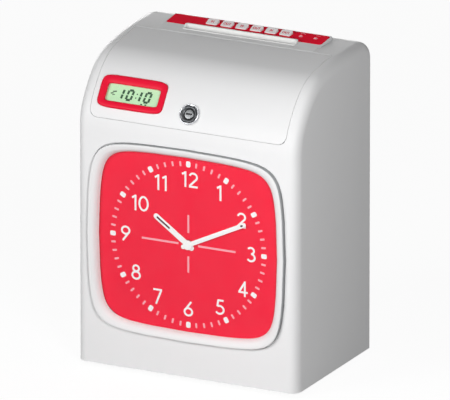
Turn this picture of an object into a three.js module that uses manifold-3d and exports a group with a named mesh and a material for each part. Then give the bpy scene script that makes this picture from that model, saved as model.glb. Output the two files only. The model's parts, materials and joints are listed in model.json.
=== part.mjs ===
// A punch card time clock: a rounded plastic case that stands on four rubber feet, with an
// analogue dial in front, a hinged and locked lid with a small display above it, a card slot
// and six keys on top, and the clock movement, card feed and printing unit inside.
// Millimetres. X is to the right as seen from the front, the front faces -Y and Z is up.
// The origin is on the table, under the middle of the case.
import * as THREE from 'three';
import { mergeVertices } from 'three/addons/utils/BufferGeometryUtils.js';
import Module from 'manifold-3d';

const wasm = await Module();
wasm.setup();

// The case
const caseWidth = 180;
const caseDepth = 120;
const footHeight = 3;
const wall = 2.5;
const sideFillet = 8;
const rearFillet = 8.4;
const frontStraightHeight = 180;
const browRadius = 40;
const slopeRadius = 88;
const shoulderRadius = 48;
const crownShare = 13 / 6;
const browDegrees = 30;
const slopeDegrees = 46;
const shoulderDegrees = 79;
const crownDegrees = 90;
const overrun = 4;

// The deck, the hinge and the mechanism keep their distance from the rear face. Their depths are
// measured from a plane this far in front of it.
const unitDepth = 120;

// Gaps between neighbours
const seatGap = 0.3;
const seamGap = 0.5;
const runGap = 0.3;

// The lid and its hinge
const lidSideMargin = 10.25;
const lidSeamHeight = 188.5;
const lidCorner = 6.5;
const hingeDepth = 74;
const noseRadius = 3.5;
const hingeRodRadius = 1.2;
const hingeLugLength = 4;
const hingeLugDepth = 8;
const hingeLugHeight = 8;

// The dial on the front
const dialHeight = 101;
const dialHalfHeight = 67.5;
const sightMargin = 0.7;
const bezelSideMargin = 10.1;
const bezelWidth = 6.6;
const bezelHalfHeight = 73;
const bezelProud = 3;
const bezelRound = 1.4;
const bezelCrown = 2.2;
const bezelLand = 0.4;
const bezelSkirt = 3.6;
const dialPlateThick = 1.9;
const dialPlateHole = 3.8;
const lensThick = 0.7;
const lensSunk = 0.1;
const carrierThick = 2;
const carrierDeep = 2.5;
const carrierMargin = 4;

// The hands and the motion work behind them
const minuteLength = 52.8;
const hourLength = 33.8;
const minuteHandWidth = 3.4;
const hourHandWidth = 4.4;
const handTail = 5.5;
const handThick = 0.5;
const handGap = 0.5;
const handSlotWidth = 1.4;
const hourSlotLength = 13;
const minuteSlotLength = 2.4;
const handSlotFromTip = 2.6;
const hubRadius = 3.6;
const minuteDegrees = 64.3;
const hourDegrees = 305.4;
const arborRadius = 1.2;
const hourTubeRadius = 2.4;
const wheelDistance = 12;
const driveModule = 0.625;
const cannonTeeth = 10;
const reductionTeeth = 30;
const hourPinionTeeth = 8;
const hourWheelTeeth = 32;
const driveTeeth = 48;
const rotorTeeth = 8;
const wheelThick = 1.5;
const pinionExtra = 0.2;
const wheelGap = 1.2;
const reductionDegrees = -135;
const rotorDegrees = 45;
const housingHalf = 25;
const housingCorner = 6;
const housingWall = 1.5;
const rotorMagnetRadius = 3.5;
const rotorMagnetLength = 3;

// The display, set in the lid to the left of the middle
const displayAcross = -49;
const displayDegrees = 35.7;
const displayHalfWidth = 26.6;
const displayHalfHeight = 12.7;
const displayWindowWidth = 42.5;
const displayWindowHeight = 13.7;
const displayWindowCorner = 1.5;
const displayProud = 1.3;
const displayPocket = 1.4;
const displayRound = 0.9;
const displayGlassSunk = 0.8;
const displayHoleMargin = 1.8;
const lcdThick = 4.5;
const boardThick = 1.6;
const displayBoardLeft = 28;
const displayBoardRight = 38;
const displayBoardHalf = 13;
const displayPostRadius = 2.2;
const displayPostAcross = 25;
const setupButtonAcross = 33.5;
const setupButtonPitch = 11;
const setupButtonRadius = 2.4;
const setupButtonHeight = 4;
const setupButtonTravel = 0.6;

// The lock in the middle of the lid
const lockDegrees = 30;
const lockRingRadius = 7.9;
const lockRingProud = 1.8;
const lockBodyRadius = 5.5;
const lockBodyLength = 14;
const lockPlugRadius = 3.7;
const lockPlugSunk = 0.4;
const keywayLength = 5;
const keywayWidth = 1.3;
const keywayDepth = 6;
const camReach = 20;
const camHalfWidth = 4;
const camThick = 1.7;
const catchHalfWidth = 7;
const catchLow = 181.5;
const catchHigh = 185;
const catchReach = 8.2;

// The card slot and the keys on top
const deckHalfWidth = 64.4;
const deckBackDepth = 109.9;
const deckRise = 3.2;
const deckLead = 0.4;
const deckFloor = 1.5;
const cardDepth = 87.7;
const cardThroatDepth = 4.6;
const cardThroatHalf = 44.5;
const slotWall = 0.9;
const slotFlange = 0.5;
const slotNeckLength = 5;
const slotProud = 0.3;
const slotBackProud = 2;
const panelRim = 0.8;
const panelThick = 1.2;
const panelCorner = 2;
const keyCount = 6;
const keyPitch = 12;
const keyFirstAcross = -29.5;
const keyWidth = 9;
const keyDepth = 6.4;
const keyCorner = 1.2;
const keyProud = 0.4;
const keyRise = 1.5;
const keyBody = 2.6;
const keyStemRadius = 1.5;
const keyTravel = 1.2;
const keyRowDepth = 101.7;
const lampCount = 2;
const lampFirstAcross = 42.5;
const lampRadius = 1.6;
const lampLength = 2.4;
const keyBoardMargin = 3;
const keyBoardSunk = 5.6;

// The back cover and its fittings
const rearWindowHalf = 70;
const rearWindowLow = 15;
const rearWindowHigh = 212;
const rearWindowCorner = 6;
const coverLap = 6;
const coverRim = 2;
const coverRimDepth = 2.4;
const keyholeAcross = 45;
const keyholeHeight = 192;
const keyholeRadius = 4.6;
const keyholeNeck = 2.4;
const keyholeLength = 10;
const inletAcross = -45;
const inletHeight = 32;
const inletHalfWidth = 8.5;
const inletHalfHeight = 4.6;
const inletWall = 1.6;
const inletFlange = 2.4;
const inletDepth = 16;
const inletSocketDepth = 13;
const inletPinRadius = 1.15;
const inletPinSpread = 4.3;
const inletPinLength = 10;

// The base and the feet
const baseThick = 2.4;
const footRadius = 8;
const footFromSide = 20;
const footFromFront = 18;

// The frame, the card chute and the card feed
const frameInner = 62;
const frameThick = 2;
const frameFrontDepth = 36;
const frameBackDepth = 106;
const frameTop = 192;
const frameNoseTop = 150;
const frameFlange = 7;
const chuteGap = 7;
const chuteThick = 2;
const chuteLow = 40;
const chuteRail = 3;
const feedHeight = 115;
const feedRadius = 8;
const pinchRadius = 8;
const nipGap = 0.6;
const rollerHalf = 14;
const feedShaftRadius = 2;
const chuteWindowMargin = 2;
const feedModule = 1.2;
const feedGearTeeth = 20;
const feedPinionTeeth = 10;
const feedGearThick = 4;
const feedGearFromFrame = 3;
const feedMotorRadius = 10;
const feedMotorLength = 26;
const feedPinionDegrees = 180;

// The printing unit
const rodHeight = 150;
const rodDepth = 67;
const rodRadius = 2.5;
const carriageHalf = 13;
const carriageLow = 143;
const carriageHigh = 166;
const carriageFrontDepth = 60.5;
const carriageBackDepth = 80;
const carriageTravel = 30;
const headHalf = 6;
const headHalfHeight = 7;
const headHeight = 158;
const beltRadius = 6;
const beltThick = 1.2;
const beltWidth = 4;
const beltDepth = 55;
const beltHeight = 157;
const pulleyShaftRadius = 1.5;
const pulleyShaftFront = 14;
const motorRadius = 9.7;
const motorLength = 14;
const clampThick = 2;
const armHalf = 4;

// The ribbon, the boards and the power supply
const ribbonHalf = 46;
const ribbonFrontDepth = 42;
const ribbonBackDepth = 78;
const ribbonLow = 172;
const ribbonHigh = 186;
const ribbonCorner = 8;
const ribbonLedge = 2;
const knobAcross = 26;
const knobRadius = 7;
const knobHeight = 6;
const knobStem = 2;
const knobRibs = 12;
const boardPartsMargin = 2;
const boardLow = 60;
const boardHigh = 170;
const chipSize = 18;
const chipHeight = 3;
const relaySize = 14;
const relayHeight = 9;
const coreHalfWidth = 22;
const coreDepth = 18;
const coreHeight = 36;
const windingHalfWidth = 13;
const windingDepth = 30;
const windingMargin = 5;
const transformerAcross = -25;
const transformerDepth = 45;
const batteryWidth = 34;
const batteryDepth = 8;
const batteryHeight = 20;

// Faceting
const filletSteps = 4;
const bezelSteps = 3;
const rimSteps = 2;
const arcStepDegrees = 6;
const roundSides = 20;
const smallSides = 10;
const cornerSteps = 3;
const outlineSides = 44;
const dialPower = 5;
const displayPower = 6.5;
const weldDistance = 0.0001;
const fullTurn = 2 * Math.PI;

// Gear teeth, as shares of the module and of the tooth pitch
const tipShare = 0.8;
const rootShare = 1.15;
const tipArcShare = 0.11;
const rootArcShare = 0.29;

// Places worked out from the sizes above
const halfWidth = caseWidth / 2;
const frontY = -caseDepth / 2;
const rearY = caseDepth / 2;
const innerFront = frontY + wall;
const radians = THREE.MathUtils.degToRad;
const frameOuter = frameInner + frameThick;
const unitY = rearY - unitDepth;
const crownRadius = crownShare * caseDepth;
const lidHalfWidth = halfWidth - lidSideMargin;
const bezelHalfWidth = halfWidth - bezelSideMargin;
const dialHalfWidth = bezelHalfWidth - bezelWidth;
const sight = [dialHalfWidth - sightMargin, dialHalfHeight - sightMargin];
const crest = [bezelHalfWidth - bezelRound - bezelLand, bezelHalfHeight - bezelRound - bezelLand];
const pulleyAcross = frameInner - motorRadius - seatGap;

// Materials
function finish(color, roughness, metalness = 0) {
  return new THREE.MeshStandardMaterial({ color, roughness, metalness });
}
const whitePlastic = finish(0xf0f0ee, 0.35);
const redPlastic = finish(0xd8203f, 0.35);
const redDial = finish(0xec2142, 0.5);
const handWhite = finish(0xfbfbfb, 0.4);
const clearPlastic = finish(0xf4f8f8, 0.05);
const lcdGreen = finish(0xbeeeb9, 0.3);
const darkRubber = finish(0x222222, 0.9);
const blackPlastic = finish(0x2a2a2c, 0.6);
const boardGreen = finish(0x1f6b3a, 0.5);
const steel = finish(0xb8babd, 0.35, 0.9);
const chrome = finish(0xd9dadc, 0.12, 1);
const lockDark = finish(0x3a3b3d, 0.3, 0.9);
const brass = finish(0xb9964a, 0.35, 0.9);
const keyWhite = finish(0xf6f1f2, 0.45);
const copper = finish(0xa8693c, 0.5, 0.4);

// Solids: a closed geometry becomes a solid, and a solid a geometry again.
function solid(geometry) {
  const bare = geometry.clone();
  bare.deleteAttribute('normal');
  bare.deleteAttribute('uv');
  const merged = mergeVertices(bare, weldDistance);
  const vertProperties = new Float32Array(merged.attributes.position.array);
  const triVerts = new Uint32Array(merged.index.array);
  return new wasm.Manifold(new wasm.Mesh({ numProp: 3, vertProperties, triVerts }));
}

function geometryOf(body) {
  const mesh = body.getMesh();
  const geometry = new THREE.BufferGeometry();
  geometry.setAttribute('position', new THREE.BufferAttribute(new Float32Array(mesh.vertProperties), 3));
  geometry.setIndex(new THREE.BufferAttribute(new Uint32Array(mesh.triVerts), 1));
  return geometry;
}

function piece(name, body, material, parent) {
  const mesh = new THREE.Mesh(geometryOf(body), material.clone());
  mesh.name = name;
  parent.add(mesh);
  return mesh;
}

// A block between two values on each axis
function block([x0, x1], [y0, y1], [z0, z1]) {
  const geometry = new THREE.BoxGeometry(x1 - x0, y1 - y0, z1 - z0);
  return solid(geometry.translate((x0 + x1) / 2, (y0 + y1) / 2, (z0 + z1) / 2));
}

// Round bars along X, Y and Z: radius, ends, and the two other coordinates of the axis
function barX(radius, [x0, x1], y, z, sides = roundSides) {
  const geometry = new THREE.CylinderGeometry(radius, radius, x1 - x0, sides);
  return solid(geometry.rotateZ(Math.PI / 2).translate((x0 + x1) / 2, y, z));
}

function barY(radius, [y0, y1], x, z, sides = roundSides) {
  const geometry = new THREE.CylinderGeometry(radius, radius, y1 - y0, sides);
  return solid(geometry.translate(x, (y0 + y1) / 2, z));
}

function barZ(radius, [z0, z1], x, y, sides = roundSides) {
  const geometry = new THREE.CylinderGeometry(radius, radius, z1 - z0, sides);
  return solid(geometry.rotateX(Math.PI / 2).translate(x, y, (z0 + z1) / 2));
}

// A shape drawn in X and Z, standing between two depths
function upright(shape, [y0, y1]) {
  const geometry = new THREE.ExtrudeGeometry(shape, { depth: y1 - y0, bevelEnabled: false });
  return solid(geometry.rotateX(Math.PI / 2).translate(0, y1, 0));
}

// A shape drawn in X and Y, lying between two heights
function lying(shape, [z0, z1]) {
  const geometry = new THREE.ExtrudeGeometry(shape, { depth: z1 - z0, bevelEnabled: false });
  return solid(geometry.translate(0, 0, z0));
}

// A shape drawn in Y and Z, running between two places across
function across(shape, [x0, x1]) {
  const geometry = new THREE.ExtrudeGeometry(shape, { depth: x1 - x0, bevelEnabled: false });
  return solid(swing(geometry).translate(x0, 0, 0));
}

// Turns a geometry so that its own x, y and z become Y, Z and X.
function swing(geometry) {
  const turn = new THREE.Matrix4().makeBasis(
    new THREE.Vector3(0, 1, 0), new THREE.Vector3(0, 0, 1), new THREE.Vector3(1, 0, 0));
  return geometry.applyMatrix4(turn);
}

function roundedRect(x0, x1, y0, y1, radius) {
  const shape = new THREE.Shape();
  const quarter = Math.PI / 2;
  const corners = [[x1 - radius, y0 + radius, 3], [x1 - radius, y1 - radius, 0],
    [x0 + radius, y1 - radius, 1], [x0 + radius, y0 + radius, 2]];
  const points = corners.flatMap(([cx, cy, turn]) => Array.from({ length: cornerSteps + 1 }, (_, i) => {
    const angle = quarter * (turn + i / cornerSteps);
    return new THREE.Vector2(cx + radius * Math.cos(angle), cy + radius * Math.sin(angle));
  }));
  return shape.setFromPoints(points);
}

// A rectangle with bulging sides and soft corners: a superellipse, squarer the higher its power
function bulged(halfAcross, halfUp, power, centreUp = 0) {
  const soften = (value) => Math.sign(value) * Math.abs(value) ** (2 / power);
  const points = Array.from({ length: outlineSides }, (_, i) => {
    const angle = fullTurn * i / outlineSides;
    return new THREE.Vector2(halfAcross * soften(Math.cos(angle)),
      centreUp + halfUp * soften(Math.sin(angle)));
  });
  return new THREE.Shape(points);
}

const dialOutline = (halfAcross, halfUp) => bulged(halfAcross, halfUp, dialPower, dialZ);
const displayOutline = (halfAcross, halfUp) => bulged(halfAcross, halfUp, displayPower);

// The arcs of the front, from the upright face back to the flat top, each tangent to the last
function frontArcs() {
  const arcs = [[browRadius, 0, browDegrees], [slopeRadius, browDegrees, slopeDegrees],
    [shoulderRadius, slopeDegrees, shoulderDegrees], [crownRadius, shoulderDegrees, crownDegrees]];
  const centre = new THREE.Vector2(frontY, footHeight + frontStraightHeight);
  let last = 0;
  return arcs.map(([radius, from, to]) => {
    const start = radians(from);
    centre.x += (radius - last) * Math.cos(start);
    centre.y -= (radius - last) * Math.sin(start);
    last = radius;
    return { radius, from, to, centre: centre.clone() };
  });
}
const arcs = frontArcs();

function arcPoint({ radius, centre }, degrees, inset) {
  const angle = radians(degrees);
  return new THREE.Vector2(centre.x - (radius - inset) * Math.cos(angle),
    centre.y + (radius - inset) * Math.sin(angle));
}

// A place on the front by the angle of its surface: the depth and the height of the surface
function surfaceAt(degrees) {
  return arcPoint(arcs.find(({ to }) => degrees <= to), degrees, 0);
}

// The side profile of the case, set in from its outside: Y forward to back, Z from the feet up. It runs
// past the rear plane by the side fillet, so that the rear edges stay sharp once they are cut there.
function profilePoints(inset) {
  const base = footHeight - overrun - sideFillet;
  const points = [new THREE.Vector2(frontY + inset, base), arcPoint(arcs[0], 0, inset)];
  for (const arc of arcs) {
    const steps = Math.ceil((arc.to - arc.from) / arcStepDegrees);
    for (let i = 1; i <= steps; i++) {
      points.push(arcPoint(arc, arc.from + (arc.to - arc.from) * i / steps, inset));
    }
  }
  const reach = rearFillet + sideFillet;
  const corner = new THREE.Vector2(rearY - rearFillet, surfaceAt(crownDegrees).y - reach);
  for (let i = 0; i <= filletSteps; i++) {
    const angle = Math.PI / 2 * (1 - i / filletSteps);
    points.push(corner.clone().add(new THREE.Vector2(Math.cos(angle), Math.sin(angle))
      .multiplyScalar(reach - inset)));
  }
  points.push(new THREE.Vector2(rearY + sideFillet - inset, base));
  return points;
}

// The case as a solid, set in from its outside, with its long edges filleted
function bodyForm(inset) {
  const fillet = sideFillet - inset;
  const shape = new THREE.Shape(profilePoints(inset).reverse());
  const geometry = new THREE.ExtrudeGeometry(shape, { depth: caseWidth - 2 * sideFillet,
    bevelEnabled: true, bevelThickness: fillet, bevelSize: fillet, bevelOffset: -fillet,
    bevelSegments: filletSteps });
  const form = solid(swing(geometry).translate(sideFillet - halfWidth, 0, 0));
  const low = footHeight - (inset > 0 ? overrun : 0);
  return form.subtract(block([-caseWidth, caseWidth], [-caseDepth, caseDepth], [-caseWidth, low]))
    .subtract(block([-caseWidth, caseWidth], [rearY - inset, caseDepth], [-caseWidth, 2 * caseWidth]));
}

// A group on the slope: its x runs across, its y up the slope, and its z out of the surface.
function slopeGroup(acrossX, degrees) {
  const place = surfaceAt(degrees);
  const angle = radians(degrees);
  const group = new THREE.Group();
  const up = new THREE.Vector3(0, Math.sin(angle), Math.cos(angle));
  const out = new THREE.Vector3(0, -Math.cos(angle), Math.sin(angle));
  group.matrix.makeBasis(new THREE.Vector3(1, 0, 0), up, out).setPosition(acrossX, place.x, place.y);
  group.matrix.decompose(group.position, group.quaternion, group.scale);
  return group;
}

// A solid that was made in a group's own frame, moved to the whole object's frame
function placed(body, group) {
  group.updateMatrixWorld(true);
  return solid(geometryOf(body).applyMatrix4(group.matrixWorld));
}

// The height of the flat top, and the hinge axis under the crown
const topHeight = surfaceAt(crownDegrees).y;
const crownEnd = surfaceAt(crownDegrees).x;
const hingeY = unitY + hingeDepth;
const crownDrop = crownRadius - Math.sqrt(crownRadius ** 2 - (crownEnd - hingeY) ** 2);
const hingeZ = topHeight - crownDrop - noseRadius;
const dialZ = footHeight + dialHeight;
const seamZ = footHeight + lidSeamHeight;
const cardY = unitY + cardDepth;
const baseTop = footHeight + baseThick;

// The raised deck behind the lid slopes up to the back.
const deckStart = hingeY + noseRadius + seamGap;
const deckEnd = unitY + deckBackDepth;
const deckLow = topHeight - deckLead;
const deckSlope = Math.atan2(deckRise, deckEnd - deckStart);
const neckLow = topHeight - wall - slotNeckLength;
const keyRow = unitY + keyRowDepth;

// A group on the deck over the row of keys: its z stands out of the deck.
function deckGroup() {
  const group = new THREE.Group();
  group.position.set(0, keyRow, deckLow + (keyRow - deckStart) * Math.tan(deckSlope));
  group.rotation.x = deckSlope;
  return group;
}

// The opening that the lid fills: from the front seam back to the hinge
function lidRegion(margin) {
  const front = roundedRect(-lidHalfWidth - margin, lidHalfWidth + margin,
    seamZ - margin + seamGap, topHeight + lidCorner + caseDepth, lidCorner);
  return upright(front, [frontY - overrun, hingeY]);
}

function hingeNose(margin) {
  return barX(noseRadius + margin, [-lidHalfWidth - margin, lidHalfWidth + margin], hingeY, hingeZ);
}

function mainCase(parent, deck) {
  const outer = bodyForm(0);
  const inner = bodyForm(wall);
  const noseClear = hingeNose(seamGap).add(block([-lidHalfWidth - seamGap, lidHalfWidth + seamGap],
    [hingeY - noseRadius, hingeY + noseRadius + seamGap], [hingeZ, topHeight + overrun]));
  const wedge = new THREE.Shape([new THREE.Vector2(deckStart, topHeight - wall),
    new THREE.Vector2(deckEnd, topHeight - wall), new THREE.Vector2(deckEnd, deckLow + deckRise),
    new THREE.Vector2(deckStart, deckLow)]);
  let body = outer.subtract(inner).add(across(wedge, [-deckHalfWidth, deckHalfWidth]));
  for (const side of [-1, 1]) {
    const near = side * (lidHalfWidth + seamGap + seatGap);
    const far = near + side * hingeLugLength;
    const lug = block([Math.min(near, far), Math.max(near, far)],
      [hingeY - hingeLugDepth / 2, hingeY + hingeLugDepth / 2], [hingeZ - hingeLugHeight / 2, topHeight]);
    body = body.add(lug.intersect(outer));
  }
  const holder = block([-catchHalfWidth, catchHalfWidth], [innerFront - wall / 2, innerFront + catchReach],
    [footHeight + catchLow, footHeight + catchHigh]);
  body = body.add(holder);
  body = body.subtract(lidRegion(seamGap)).subtract(noseClear);
  const rodHole = lidHalfWidth + seamGap + seatGap + hingeLugLength;
  body = body.subtract(barX(hingeRodRadius + runGap, [-rodHole, rodHole], hingeY, hingeZ, smallSides));
  body = body.subtract(upright(dialOutline(sight[0] + bezelSkirt + seatGap, sight[1] + bezelSkirt + seatGap),
    [frontY - overrun, innerFront + overrun / 2]));
  const neckHalf = cardThroatHalf + slotWall + seatGap;
  const neckDeep = cardThroatDepth / 2 + slotWall + seatGap;
  body = body.subtract(block([-neckHalf, neckHalf], [cardY - neckDeep, cardY + neckDeep],
    [topHeight - wall - overrun, topHeight + overrun]));
  const keys = keyField(keyBoardMargin / 2);
  const recess = lying(panelShape(seatGap), [-deckFloor, overrun]);
  const keyWindow = block(keys.x, keys.y, [-wall - 2 * overrun, overrun]);
  body = body.subtract(placed(recess.add(keyWindow), deck));
  body = body.subtract(upright(roundedRect(-rearWindowHalf, rearWindowHalf, footHeight + rearWindowLow,
    footHeight + rearWindowHigh, rearWindowCorner), [rearY - wall - overrun, rearY + overrun]));
  piece('main_case', body, whitePlastic, parent);
}

// The field of keys and lamps on top, with a margin round it
function keyField(margin) {
  const lastLamp = lampFirstAcross + keyPitch;
  return {
    x: [keyFirstAcross - keyWidth / 2 - margin, lastLamp + lampRadius + margin],
    y: [-keyDepth / 2 - margin, keyDepth / 2 + margin],
  };
}

// The outline of the red panel behind the card slot, in the deck's own frame
function panelShape(margin) {
  const half = deckHalfWidth - panelRim - seatGap;
  const front = cardY + cardThroatDepth / 2 + slotWall + slotFlange + 2 * seatGap - keyRow;
  const back = deckEnd - panelRim - seatGap - keyRow;
  return roundedRect(-half - margin, half + margin, front - margin, back + margin, panelCorner);
}

function lid(parent, slope, lockSlope) {
  const shell = bodyForm(0).subtract(bodyForm(wall));
  let body = shell.intersect(lidRegion(0)).add(hingeNose(0));
  body = body.subtract(barX(hingeRodRadius + runGap, [-halfWidth, halfWidth], hingeY, hingeZ, smallSides));
  const pocketShape = displayOutline(displayHalfWidth + seatGap, displayHalfHeight + seatGap);
  const pocket = lying(pocketShape, [-displayPocket, overrun]);
  const holeHalf = displayWindowWidth / 2 + displayHoleMargin - seatGap;
  const holeUp = displayWindowHeight / 2 + displayHoleMargin;
  const hole = block([-holeHalf, holeHalf], [-holeUp, holeUp], [-wall - overrun, overrun]);
  for (const side of [-1, 1]) {
    const post = barZ(displayPostRadius, [-displayPocket - lcdThick - seatGap / 2, -wall / 2 - seatGap],
      side * displayPostAcross, 0, smallSides);
    body = body.add(placed(post, slope));
  }
  body = body.subtract(placed(pocket, slope)).subtract(placed(hole, slope));
  body = body.subtract(placed(barZ(lockBodyRadius + seatGap, [-wall - overrun, overrun], 0, 0), lockSlope));
  piece('lid', body, whitePlastic, parent);
}

function hingeRod(parent) {
  const reach = lidHalfWidth + seamGap + hingeLugLength;
  piece('hinge_rod', barX(hingeRodRadius, [-reach, reach], hingeY, hingeZ, smallSides), steel, parent);
}

// How far the ring's inner slope reaches across and up at a depth: the sight at its back, the crest in front
function slopeReach(y) {
  const share = (innerFront - y) / (innerFront - frontY + bezelProud);
  return sight.map((reach, axis) => reach + (crest[axis] - reach) * share);
}

// The hollow inside the ring's slope: a prism whose front outline is spread to fit
function flare([y0, y1]) {
  const [front, back] = [slopeReach(y0), slopeReach(y1)];
  const outline = bulged(back[0], back[1], dialPower);
  const prism = new THREE.ExtrudeGeometry(outline, { depth: y1 - y0, bevelEnabled: false });
  prism.rotateX(Math.PI / 2).translate(0, y1, 0);
  const place = prism.attributes.position;
  for (let i = 0; i < place.count; i++) {
    if (place.getY(i) < (y0 + y1) / 2) {
      place.setX(i, place.getX(i) * front[0] / back[0]);
      place.setZ(i, place.getZ(i) * front[1] / back[1]);
    }
  }
  return solid(prism.translate(0, 0, dialZ));
}

// The raised ring round the dial: steep outside, a crest, a long slope in to the dial, and a skirt
function dialBezel(parent) {
  const ring = new THREE.ExtrudeGeometry(dialOutline(bezelHalfWidth, bezelHalfHeight), {
    depth: bezelProud - bezelCrown, bevelEnabled: true, bevelThickness: bezelCrown,
    bevelSize: bezelRound, bevelOffset: -bezelRound, bevelSegments: bezelSteps });
  let body = solid(ring.rotateX(Math.PI / 2).translate(0, frontY, 0));
  body = body.subtract(block([-caseWidth, caseWidth], [frontY - seatGap, rearY], [0, caseWidth]));
  body = body.add(upright(dialOutline(sight[0] + bezelSkirt, sight[1] + bezelSkirt),
    [frontY - bezelProud / 2, innerFront]));
  body = body.subtract(flare([frontY - bezelProud - overrun, innerFront + overrun]));
  piece('dial_bezel', body, whitePlastic, parent);
}

// The shallow tray that holds the dial and the movement; its rim meets the front wall
const carrierRim = innerFront + seatGap;
const carrierFront = carrierRim + carrierDeep;
const carrierBack = carrierFront + carrierThick;
const dialFace = carrierFront - seatGap - dialPlateThick;

function dialParts(parent) {
  const wide = dialHalfWidth - seatGap;
  const high = dialHalfHeight - seatGap;
  const lensFront = frontY + lensSunk;
  const [lensAcross, lensUp] = slopeReach(lensFront + lensThick);
  piece('dial_lens', upright(dialOutline(lensAcross - seatGap, lensUp - seatGap),
    [lensFront, lensFront + lensThick]), clearPlastic, parent);
  const hole = barY(dialPlateHole, [frontY - overrun, carrierBack + overrun], 0, dialZ);
  const plate = upright(dialOutline(wide, high), [dialFace, dialFace + dialPlateThick]);
  piece('dial_plate', plate.subtract(hole), redDial, parent);
  const holder = upright(dialOutline(dialHalfWidth + carrierMargin, dialHalfHeight + carrierMargin),
    [carrierRim, carrierBack])
    .subtract(upright(dialOutline(dialHalfWidth, dialHalfHeight), [carrierRim - overrun, carrierFront]));
  let carrier = holder.subtract(barY(hourTubeRadius + runGap, [carrierFront - overrun,
    carrierBack + overrun], 0, dialZ));
  for (const [x, z] of [reductionAxis, rotorAxis]) {
    carrier = carrier.subtract(barY(arborRadius + runGap, [carrierFront - overrun, carrierBack + overrun],
      x, dialZ + z, smallSides));
  }
  piece('dial_carrier', carrier, blackPlastic, parent);
}

// A gear outline with straight flanks; one tooth points along the given angle.
function gearShape(teeth, module, toothAngle) {
  const pitch = fullTurn / teeth;
  const radius = module * teeth / 2;
  const tip = radius + module * tipShare;
  const root = radius - module * rootShare;
  const corners = [[root, -rootArcShare], [tip, -tipArcShare], [tip, tipArcShare], [root, rootArcShare]];
  const points = [];
  for (let tooth = 0; tooth < teeth; tooth++) {
    for (const [reach, share] of corners) {
      const angle = toothAngle + pitch * (tooth + share);
      points.push(new THREE.Vector2(reach * Math.cos(angle), reach * Math.sin(angle)));
    }
  }
  return new THREE.Shape(points);
}

// Where the arbors of the motion work stand, from the middle of the dial
const reductionAngle = radians(reductionDegrees);
const rotorAngle = radians(rotorDegrees);
const rotorDistance = driveModule * (driveTeeth + rotorTeeth) / 2;
const cannonModule = 2 * wheelDistance / (cannonTeeth + reductionTeeth);
const hourModule = 2 * wheelDistance / (hourPinionTeeth + hourWheelTeeth);
const reductionAxis = [wheelDistance * Math.cos(reductionAngle), wheelDistance * Math.sin(reductionAngle)];
const rotorAxis = [rotorDistance * Math.cos(rotorAngle), rotorDistance * Math.sin(rotorAngle)];

// The layers of the motion work, from the front back
const hourLayer = [carrierBack + seatGap + pinionExtra, carrierBack + seatGap + pinionExtra + wheelThick];
const cannonLayer = [hourLayer[1] + wheelGap, hourLayer[1] + wheelGap + wheelThick];
const driveLayer = [cannonLayer[1] + wheelGap, cannonLayer[1] + wheelGap + wheelThick];
const housingBack = driveLayer[1] + wheelGap + rotorMagnetLength;
const bearingEnd = housingBack + housingWall - seatGap;
const hourHandFace = dialFace - handGap - handThick;
const minuteHandFace = hourHandFace - handGap - handThick;

function longer([y0, y1]) {
  return [y0 - pinionExtra, y1 + pinionExtra];
}

function motionWork(parent) {
  const group = new THREE.Group();
  group.position.set(0, 0, dialZ);
  parent.add(group);
  const minute = barY(arborRadius, [minuteHandFace, bearingEnd], 0, 0, smallSides)
    .add(upright(gearShape(cannonTeeth, cannonModule, reductionAngle), longer(cannonLayer)))
    .add(upright(gearShape(driveTeeth, driveModule, rotorAngle), driveLayer));
  piece('minute_arbor', minute, brass, group);
  const back = reductionAngle + Math.PI;
  const reduction = upright(gearShape(reductionTeeth, cannonModule, back + Math.PI / reductionTeeth),
    cannonLayer)
    .add(upright(gearShape(hourPinionTeeth, hourModule, back), longer(hourLayer)))
    .add(barY(arborRadius, [carrierFront + seatGap, cannonLayer[1]], 0, 0, smallSides));
  const reductionMesh = piece('reduction_wheel', reduction, brass, group);
  reductionMesh.position.set(reductionAxis[0], 0, reductionAxis[1]);
  const hour = upright(gearShape(hourWheelTeeth, hourModule, reductionAngle + Math.PI / hourWheelTeeth),
    hourLayer).add(barY(hourTubeRadius, [hourHandFace, hourLayer[1]], 0, 0))
    .subtract(barY(arborRadius + runGap, [frontY - caseDepth, rearY], 0, 0, smallSides));
  piece('hour_wheel', hour, brass, group);
  const rotorBack = rotorAngle + Math.PI;
  const rotor = upright(gearShape(rotorTeeth, driveModule, rotorBack + Math.PI / rotorTeeth),
    longer(driveLayer))
    .add(barY(rotorMagnetRadius, [driveLayer[1] + pinionExtra, housingBack - seatGap], 0, 0))
    .add(barY(arborRadius, [carrierFront + seatGap, bearingEnd], 0, 0, smallSides));
  const rotorMesh = piece('motor_rotor', rotor, blackPlastic, group);
  rotorMesh.position.set(rotorAxis[0], 0, rotorAxis[1]);
  const outside = roundedRect(-housingHalf, housingHalf, -housingHalf, housingHalf, housingCorner);
  const inside = housingHalf - housingWall;
  const hollow = roundedRect(-inside, inside, -inside, inside, housingCorner - housingWall);
  let housing = upright(outside, [carrierBack + seatGap, housingBack + housingWall])
    .subtract(upright(hollow, [carrierBack - overrun, housingBack]));
  for (const [x, z] of [[0, 0], rotorAxis]) {
    housing = housing.subtract(barY(arborRadius + runGap, [housingBack - overrun, housingBack + overrun],
      x, z, smallSides));
  }
  piece('movement_housing', housing, blackPlastic, group);
}

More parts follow.
